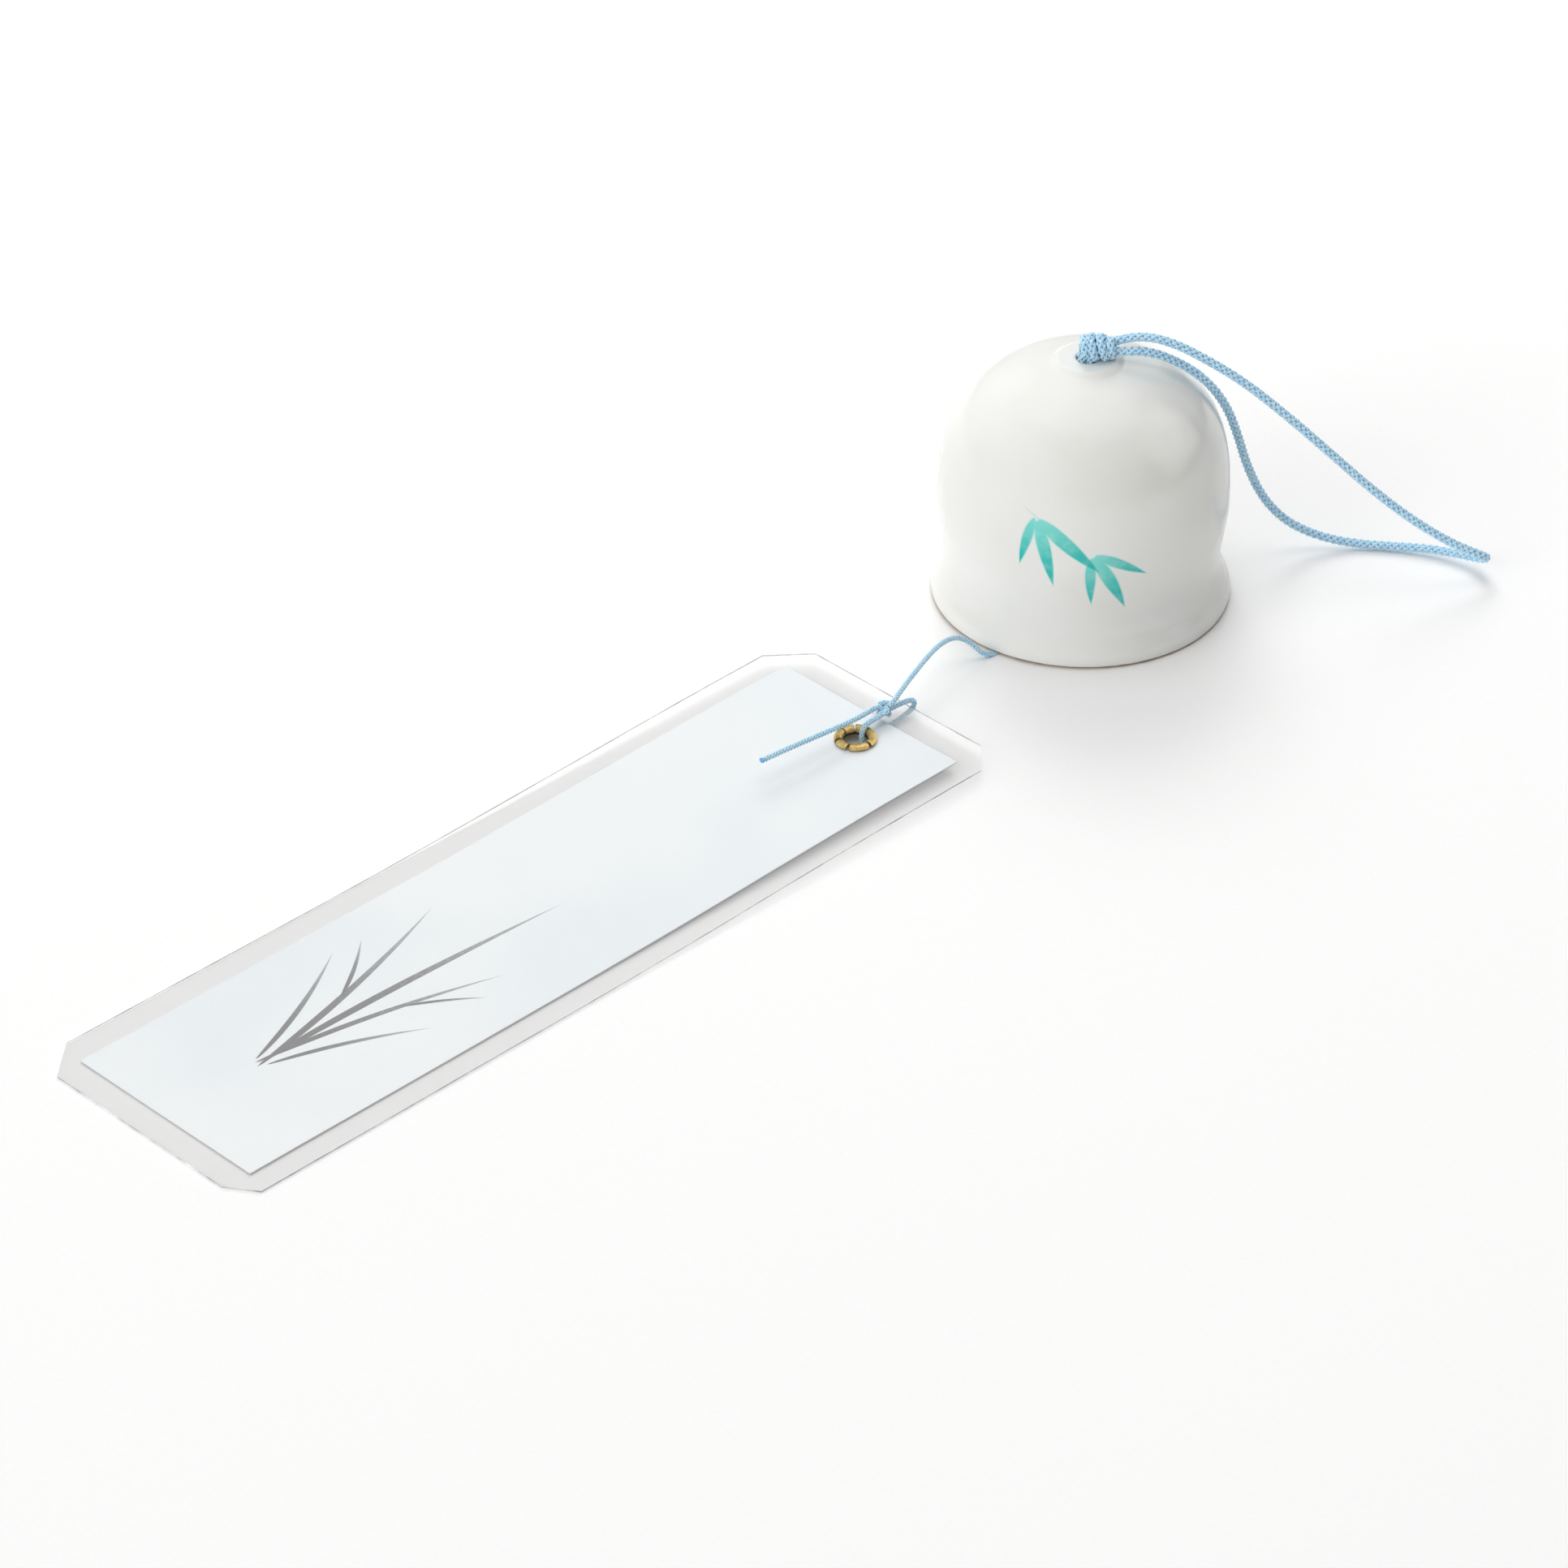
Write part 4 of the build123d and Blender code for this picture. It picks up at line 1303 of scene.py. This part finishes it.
@dataclass
class LaminatedStrip:
    """Paper sealed between two films, in its own plane: x towards the bell, y across, z up."""

    origin: Point = (-158.9, -4.3, 1.0)
    slope_sine: float = 0.0095
    floor_gap: float = 0.03
    lies_to: float = -30.0
    stands_from: float = 75.0
    half_length: float = 100.0
    half_width: float = 30.0
    far_left_cut: Pair = (8.0, 6.8)
    far_right_cut: Pair = (4.2, 6.2)
    bell_left_cut: Pair = (8.1, 7.1)
    bell_right_cut: Pair = (6.3, 6.0)
    paper_box: tuple[float, float, float, float] = (-93.8, -24.6, 92.4, 23.9)
    pocket_gap: float = 0.6
    ramp: float = 0.7
    hole: Pair = (83.6, -4.9)
    hole_radius: float = 2.95
    hole_points: int = 40
    film_thick: float = 0.14
    paper_thick: float = 0.23
    layer_gap: float = 0.02
    ring_step: float = 2.0
    ring_clear: float = 1.1
    grid: float = 3.0
    row_shifts: Pair = (0.75, 0.25)
    hole_share: float = 0.995
    merge_reach: float = 1e-5
    crease_angle: float = 8.0
    wave_height: float = 0.22
    wave_grain: Pair = (0.028, 0.045)
    wave_seed: float = 3.7
    wave_middle_share: float = 0.45
    wave_edge_share: float = 0.55
    calm_from: float = 6.0
    calm_reach: float = 16.0

    def place(self) -> Matrix:
        """Turns the strip's own millimetres into the row's metres."""
        cosine = math.sqrt(1.0 - self.slope_sine**2)
        turned = Matrix(((cosine, 0, -self.slope_sine), (0, 1, 0), (self.slope_sine, 0, cosine))).to_4x4()
        return Matrix.Scale(MM, 4) @ Matrix.Translation(self.origin) @ turned

    def outline(self) -> list[Pair]:
        """The film's cut corners, anticlockwise."""
        length, width = self.half_length, self.half_width
        return [
            (-length, width - self.far_left_cut[1]), (-length, -width + self.far_right_cut[1]),
            (-length + self.far_right_cut[0], -width), (length - self.bell_right_cut[0], -width),
            (length, -width + self.bell_right_cut[1]), (length, width - self.bell_left_cut[1]),
            (length - self.bell_left_cut[0], width), (-length + self.far_left_cut[0], width),
        ]

    def rectangle(self, grow: float) -> list[Pair]:
        """The paper's outline, grown by a margin."""
        x0, y0, x1, y1 = self.paper_box
        left, low, right, high = x0 - grow, y0 - grow, x1 + grow, y1 + grow
        return [(left, low), (right, low), (right, high), (left, high)]

    @staticmethod
    def divided(ring: Sequence[Pair], step: float) -> list[Pair]:
        """A closed outline with points along its sides."""
        made = []
        for (x0, y0), (x1, y1) in zip(ring, list(ring[1:]) + [ring[0]]):
            count = max(1, int(round(math.hypot(x1 - x0, y1 - y0) / step)))
            made += [(x0 + (x1 - x0) * i / count, y0 + (y1 - y0) * i / count) for i in range(count)]
        return made

    def wave(self, x: float, y: float) -> float:
        """How far the laminate stands off its plane at a place, in millimetres."""
        off = math.hypot(x - self.hole[0], y - self.hole[1])
        calm = min(1.0, max(0.0, off - self.calm_from) / self.calm_reach)
        grain = Vector((x * self.wave_grain[0], y * self.wave_grain[1], self.wave_seed))
        swell = 0.5 + 0.5 * noise.noise(grain)
        reach = self.wave_middle_share + self.wave_edge_share * (abs(y) / self.half_width)
        run = min(1.0, max(0.0, (x - self.lies_to) / (self.stands_from - self.lies_to)))
        sag = (1.0 - eased(run)) * (self.origin[2] + self.slope_sine * x - self.floor_gap)
        return self.wave_height * calm * swell * reach - sag

    def raised(self, x: float, y: float) -> float:
        """Share of the paper's thickness that the front film is lifted by at a place."""
        x0, y0, x1, y1 = self.paper_box
        off = max(x0 - x, x - x1, y0 - y, y - y1)
        share = min(1.0, max(0.0, 1.0 - (off - self.pocket_gap + self.ramp) / self.ramp))
        return eased(share)

    def triangles(self, rings: Sequence[Sequence[Pair]]) -> tuple[list[Vector], list[list[int]]]:
        """Cuts a flat shape with a hole into triangles.

        Args:
            rings: Closed outlines that the triangles follow. The first is its edge, the last its hole.

        Returns:
            The flat points, and the triangles as point numbers.
        """
        flat: list[Vector] = []
        edges: list[tuple[int, int]] = []
        for ring in rings:
            first = len(flat)
            flat += [Vector(p) for p in ring]
            edges += [(first + i, first + (i + 1) % len(ring)) for i in range(len(ring))]
        marked = np.array([tuple(p) for p in flat])
        columns = np.arange(-self.half_length + self.grid / 2, self.half_length, self.grid)
        for column, x in enumerate(columns):
            shift = self.grid * self.row_shifts[column % 2]
            for y in np.arange(-self.half_width + shift, self.half_width, self.grid):
                if np.min(np.hypot(marked[:, 0] - x, marked[:, 1] - y)) > self.ring_clear:
                    flat.append(Vector((x, y)))
        points, _, faces, _, _, _ = geometry.delaunay_2d_cdt(flat, edges, [], 0, self.merge_reach)
        edge = [Vector(p) for p in rings[0]]
        keep = []
        for face in faces:
            middle = sum((points[i] for i in face), Vector((0.0, 0.0))) / len(face)
            off_hole = (middle - Vector(self.hole)).length > self.hole_radius * self.hole_share
            if off_hole and self.holds(edge, middle):
                keep.append(face)
        used = sorted({i for face in keep for i in face})
        number = {i: n for n, i in enumerate(used)}
        return [points[i] for i in used], [[number[i] for i in face] for face in keep]

    @staticmethod
    def rim(faces: Sequence[list[int]]) -> list[tuple[int, int]]:
        """The edges that only one face has, in that face's direction."""
        seen: dict[tuple[int, int], list[tuple[int, int]]] = {}
        for face in faces:
            for a, b in zip(face, face[1:] + face[:1]):
                seen.setdefault((min(a, b), max(a, b)), []).append((a, b))
        return [sides[0] for sides in seen.values() if len(sides) == 1]

    def layer(self, name: str, rings: Sequence[Sequence[Pair]],
              low: Callable[[float, float], float], thick: float,
              materials: Sequence[bpy.types.Material]) -> bpy.types.Object:
        """A thin closed layer with an outline, a hole and a height of its own.

        Args:
            name: The piece's name.
            rings: Closed outlines that its mesh follows. The first is its edge, the last its hole.
            low: Height of its underside at a place.
            thick: Its thickness.
            materials: Material of its upper side, of its edges and of its underside.

        Returns:
            The layer.
        """
        flat, faces = self.triangles(rings)
        count = len(flat)
        bottom = [(p.x, p.y, low(p.x, p.y) + self.wave(p.x, p.y)) for p in flat]
        top = [(x, y, z + thick) for x, y, z in bottom]
        unders = [face[::-1] for face in faces]
        tops = [[i + count for i in face] for face in faces]
        walls = [[a, b, b + count, a + count] for a, b in self.rim(faces)]
        place = self.place()
        placed = np.array([place @ Vector(p) for p in bottom + top])
        made = mesh_object(name, placed, unders + tops + walls, materials)
        sides = ((unders, SheetFace.UNDER, True), (tops, SheetFace.TOP, True), (walls, SheetFace.EDGE, False))
        indices = [side.value for part, side, _ in sides for _ in part]
        smooth = [soft for part, _, soft in sides for _ in part]
        made.data.polygons.foreach_set("material_index", indices)
        made.data.polygons.foreach_set("use_smooth", smooth)
        made.data.update()
        return made

    @staticmethod
    def holds(ring: Sequence[Vector], point: Vector) -> bool:
        """Whether a convex anticlockwise outline holds a point."""
        for a, b in zip(ring, list(ring[1:]) + [ring[0]]):
            if (b.x - a.x) * (point.y - a.y) - (b.y - a.y) * (point.x - a.x) < -EDGE_SLACK:
                return False
        return True

    def build(self, card: bpy.types.Material, card_back: bpy.types.Material,
              film: bpy.types.Material, edge: bpy.types.Material) -> None:
        """Cuts the paper and both films.

        Args:
            card: The paper's material.
            card_back: Material of its underside.
            film: The films' material.
            edge: Material of the films' cut edges, painted dark grey as shade.
        """
        hole = [(self.hole[0] + self.hole_radius * math.cos(a), self.hole[1] + self.hole_radius * math.sin(a))
                for a in np.linspace(0, 2 * math.pi, self.hole_points, endpoint=False)]
        film_ring = self.divided(self.outline(), self.ring_step)
        paper_ring, foot_ring, top_ring = [
            self.divided(self.rectangle(grow), self.ring_step)
            for grow in (0.0, self.pocket_gap, self.pocket_gap - self.ramp)
        ]
        film_thick, paper_thick = self.film_thick, self.paper_thick
        above_back = film_thick + self.layer_gap
        lift = paper_thick + self.layer_gap
        back = self.layer("back_film_sheet", (film_ring, hole), lambda x, y: 0.0, film_thick,
                          (film, edge, film))
        paper = self.layer("paper_card", (paper_ring, hole), lambda x, y: above_back, paper_thick,
                           (card, card_back, card_back))
        front = self.layer("front_film_sheet", (film_ring, foot_ring, top_ring, hole),
                           lambda x, y: above_back + lift * self.raised(x, y), film_thick, (film, edge, film))
        for sheet in (back, paper, front):
            sheet.data.set_sharp_from_angle(angle=math.radians(self.crease_angle))
        for piece, node, slot in ((back, "back_film", Slot.FILM), (paper, "paper_strip", Slot.PAPER),
                                  (front, "front_film", Slot.FILM)):
            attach(piece, Body.TAG.value)
            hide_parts(node)


@dataclass
class Eyelet:
    """One-piece brass eyelet: a flange below, a barrel, and an upper edge of split, rolled petals."""

    strip: LaminatedStrip
    bore: float = 2.65
    wall: float = 0.25
    flange: float = 4.35
    flange_thick: float = 0.3
    strip_top: float = 0.55
    roll_height: float = 1.13
    roll_end: float = 0.62
    slit_angles: tuple[float, ...] = (-157.0, -91.0, 0.0, 47.0, 93.0, 155.0)
    slit_open: float = 0.22
    slit_spread: float = 0.36
    spread_power: float = 1.5
    petal_lifts: tuple[float, ...] = (0.0, -0.05, 0.03, -0.08, 0.04, -0.03)
    root_depth: float = 0.1
    root_height: float = 0.15
    spring_height: float = 0.42
    curl_in: float = 0.05
    curl_up: float = 0.12
    tip_in: float = 0.18
    arc_points: int = 15
    least_columns: int = 6
    column_angle: float = 4.0
    barrel_over: float = 0.12
    throat_drop: float = 0.05
    throat_flare: float = 0.12
    throat_round: float = 0.05
    throat_out: float = 0.35
    rim_bevel: float = 0.25
    rim_rise: float = 0.12
    rim_in: float = 0.08
    rim_under: float = 0.01
    around: int = 96

    def roll(self, lift: float) -> np.ndarray:
        """Middle of a petal's rolled sheet as radius and height, from the barrel over and down."""
        middle = 0.5 * (self.bore + self.flange)
        half = 0.5 * (self.flange - self.bore - self.wall)
        inner, outer = middle - half, middle + half
        spring = self.strip_top + self.spring_height
        top = self.strip_top + self.roll_height + lift - self.wall / 2
        root = [(inner, self.strip_top - self.root_depth), (inner, self.strip_top + self.root_height)]
        arc = [(middle - half * math.cos(a), spring + (top - spring) * math.sin(a))
               for a in np.linspace(0, math.pi, self.arc_points)]
        curl = [(outer - self.curl_in, self.roll_end + self.curl_up), (outer - self.tip_in, self.roll_end)]
        return np.array(root + arc + curl)

    def petal(self, start: float, end: float, lift: float, points: list, faces: list) -> None:
        """Adds one closed petal.

        Args:
            start: Angle of one side, in degrees.
            end: Angle of the other side.
            lift: How much higher than the others it is rolled.
            points: Points so far.
            faces: Faces so far.
        """
        middle = self.roll(lift)
        along = np.gradient(middle, axis=0)
        along /= np.linalg.norm(along, axis=1)[:, None]
        out = np.stack([-along[:, 1], along[:, 0]], axis=1) * self.wall / 2
        steps = max(self.least_columns, int((end - start) / self.column_angle))
        wide = steps + 1
        first = len(points)
        rows = len(middle)
        last = rows - 1
        for sheet in (middle + out, middle - out):
            for j, (radius, height) in enumerate(sheet):
                opening = self.slit_open + self.slit_spread * (j / last) ** self.spread_power
                gap = math.degrees(opening / 2 / max(radius, self.bore))
                for i in range(wide):
                    angle = math.radians(start + gap + (end - start - 2 * gap) * i / steps)
                    points.append((radius * math.cos(angle), radius * math.sin(angle), height))

        def at(sheet: int, row: int, column: int) -> int:
            """Number of a point of the petal."""
            return first + sheet * rows * wide + row * wide + column

        for j in range(last):
            for i in range(steps):
                faces.append((at(0, j, i), at(0, j, i + 1), at(0, j + 1, i + 1), at(0, j + 1, i)))
                faces.append((at(1, j, i), at(1, j + 1, i), at(1, j + 1, i + 1), at(1, j, i + 1)))
            faces.append((at(0, j, 0), at(0, j + 1, 0), at(1, j + 1, 0), at(1, j, 0)))
            faces.append((at(0, j, steps), at(1, j, steps), at(1, j + 1, steps), at(0, j + 1, steps)))
        for i in range(steps):
            faces.append((at(0, 0, i), at(1, 0, i), at(1, 0, i + 1), at(0, 0, i + 1)))
            faces.append((at(0, last, i), at(0, last, i + 1), at(1, last, i + 1), at(1, last, i)))

    def build(self, brass: bpy.types.Material, barrel_shade: bpy.types.Material) -> None:
        """Rolls the eyelet.

        Args:
            brass: Its material.
            barrel_shade: Material of the barrel's inside, painted dark as shade in the hole.
        """
        outer = self.bore + self.wall
        top = self.strip_top + self.barrel_over
        low = -self.flange_thick
        section = [
            (self.bore, top), (self.bore, -self.throat_drop),
            (self.bore + self.throat_flare, low + self.throat_round), (self.bore + self.throat_out, low),
            (self.flange - self.rim_bevel, low), (self.flange, low + self.rim_rise),
            (self.flange - self.rim_in, -self.rim_under), (outer, -self.rim_under), (outer, top),
        ]
        points: list[Point] = []
        faces: list[tuple[int, ...]] = []
        turn = np.linspace(0.0, 2.0 * math.pi, self.around, endpoint=False)
        for radius, height in section:
            points += [(radius * math.cos(a), radius * math.sin(a), height) for a in turn]
        rows = len(section)
        for j in range(rows):
            for i in range(self.around):
                after = (i + 1) % self.around
                below = (j + 1) % rows
                faces.append((j * self.around + i, below * self.around + i,
                              below * self.around + after, j * self.around + after))
        ends = self.slit_angles[1:] + (self.slit_angles[0] + 360.0,)
        for start, end, lift in zip(self.slit_angles, ends, self.petal_lifts):
            self.petal(start, end, lift, points, faces)
        place = self.strip.place() @ Matrix.Translation((*self.strip.hole, 0.0))
        placed = np.array([place @ Vector(p) for p in points])
        made = mesh_object("eyelet_rolled", placed, faces, (brass, barrel_shade))
        # The barrel's inner wall gets the dark material: painted shade in the hole.
        barrel = [1 if number < self.around else 0 for number in range(len(faces))]
        made.data.polygons.foreach_set("material_index", barrel)
        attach(made, Body.TAG.value)
        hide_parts("eyelet")


@dataclass(frozen=True)
class SoftBox:
    """A square soft light, brighter in its middle, that lights the object, is mirrored in it, or both."""

    name: str
    place: Point
    side: float
    power: float
    mirrored: bool = True
    lighting: bool = True
    nested: tuple[float, ...] = (1.0, 0.74, 0.48)

    def hang(self) -> None:
        """Hangs the light as squares within each other."""
        facing = Vector(self.place).to_track_quat("Z", "Y").to_matrix().to_4x4()
        for number, share in enumerate(self.nested):
            light = bpy.data.lights.new(f"{self.name}_{number}", "AREA")
            light.shape = "SQUARE"
            light.size, light.energy = self.side * share, self.power / len(self.nested)
            hung = bpy.data.objects.new(light.name, light)
            hung.matrix_world = Matrix.Translation(self.place) @ facing
            hung.visible_glossy = self.mirrored
            hung.visible_diffuse = self.lighting
            bpy.context.scene.collection.objects.link(hung)


@dataclass
class Studio:
    """White ground, soft boxes round the object, and the photograph's camera."""

    camera_place: Point = (-0.88549, -0.80782, 0.77655)
    look: Point = (0.57885, 0.5851, -0.56798)
    right: Point = (0.71089, -0.7033, 0.0)
    focal_px: float = 8477.9
    frame_px: float = 1932.0
    sensor: float = 36.0
    clip: Pair = (0.05, 50.0)
    ground_half: float = 4.0
    sky: Colour = (0.995, 0.995, 0.99)
    sky_range: Pair = (-0.6, 1.0)
    sky_strengths: Pair = (0.0, 0.70)
    bright_side: Point = (-0.85, 0.28, 0.45)
    boxes: tuple[SoftBox, ...] = (
        SoftBox("key_light", (0.85, 1.05, 1.25), 1.5, 24.0, False),
        SoftBox("side_light", (-1.9, 0.15, 1.05), 1.8, 18.4, False),
        SoftBox("top_light", (0.2, 0.0, 2.2), 2.2, 21.6),
        SoftBox("right_mirror", (1.25, -1.25, 1.0), 1.8, 30.0, True, False, (1.0, 0.8, 0.6)),
    )

    def build(self) -> None:
        """Makes the ground, the lights and the camera."""
        self.build_ground()
        self.build_lights()
        self.build_camera()

    def build_ground(self) -> None:
        """Lays the white ground."""
        h = self.ground_half
        points = np.array([(-h, -h, 0.0), (h, -h, 0.0), (h, h, 0.0), (-h, h, 0.0)])
        ground = mesh_object("ground", points, [(0, 1, 2, 3)], (FloorFinish().material(),), False)

    def build_lights(self) -> None:
        """Hangs the soft boxes and sets the sky."""
        world = bpy.data.worlds.new("studio")
        bpy.context.scene.world = world
        world.use_nodes = True
        tree = world.node_tree
        sky = tree.nodes["Background"]
        sky.inputs["Color"].default_value = linear(self.sky)
        facing = tree.nodes.new("ShaderNodeVectorMath")
        facing.operation = "DOT_PRODUCT"
        facing.inputs[1].default_value = self.bright_side
        tree.links.new(tree.nodes.new("ShaderNodeTexCoord").outputs["Generated"], facing.inputs[0])
        ramp = tree.nodes.new("ShaderNodeMapRange")
        for target, number in zip(ramp.inputs[1:5], self.sky_range + self.sky_strengths):
            target.default_value = number
        tree.links.new(facing.outputs["Value"], ramp.inputs[0])
        tree.links.new(ramp.outputs[0], sky.inputs["Strength"])
        for box in self.boxes:
            box.hang()
        bpy.context.scene.view_settings.view_transform = "Standard"
        bpy.context.scene.view_settings.look = "None"

    def build_camera(self) -> None:
        """Stands the camera where the photograph was taken from."""
        data = bpy.data.cameras.new("camera")
        data.sensor_width = self.sensor
        data.lens = self.focal_px / self.frame_px * self.sensor
        data.clip_start, data.clip_end = self.clip
        look, right = Vector(self.look).normalized(), Vector(self.right).normalized()
        up = right.cross(look)
        turn = Matrix((right, up, -look)).transposed().to_4x4()
        camera = bpy.data.objects.new("camera", data)
        camera.matrix_world = Matrix.Translation(self.camera_place) @ turn
        bpy.context.scene.collection.objects.link(camera)
        bpy.context.scene.camera = camera


def main() -> None:
    """Builds every piece in order."""
    logging.basicConfig(level=logging.INFO, format="%(message)s")
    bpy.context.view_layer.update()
    Studio().build()
    LOG.info("studio")
    # The core's dark blue is painted shade in the braids' gaps.
    core = CoreFinish().material()
    hanger_yarn = YarnFinish("hanger_yarn").material()
    HangingCord(Braid(2.0, 1.45, hanger_yarn, core, Slot.HANGER_CORD)).build()
    LOG.info("hanging cord")
    melted = CoreFinish("melted_end", (0.50, 0.74, 0.93), (0.38, 0.63, 0.86)).material()
    thin_yarn = YarnFinish("thin_yarn", deep=(0.55, 0.80, 0.97)).material()
    ThinCord(Braid(1.2, 0.8, thin_yarn, core, Slot.THIN_CORD), melted).build()
    LOG.info("thin cord")
    glaze = GlazeFinish().material()
    BellShell().build(glaze, BiscuitFinish().material())
    LOG.info("bell")
    Clapper().dress(glaze)
    LOG.info("clapper")
    strip = LaminatedStrip()
    # The films' clear cut edges are painted dark grey as shade.
    edge = FilmFinish("film_edge_painted_shade", (0.46, 0.47, 0.49), 0.9).material()
    to_strip = strip.place().inverted()
    card_back = PaperFinish("card_back", ink=(0.83, 0.85, 0.86)).material(to_strip)
    strip.build(PaperFinish().material(to_strip), card_back, FilmFinish().material(), edge)
    LOG.info("strip")
    # The dark barrel material is painted shade in the eyelet's hole.
    Eyelet(strip).build(BrassFinish().material(), BarrelShadeFinish().material())
    LOG.info("eyelet")


if __name__ == "__main__":
    main()
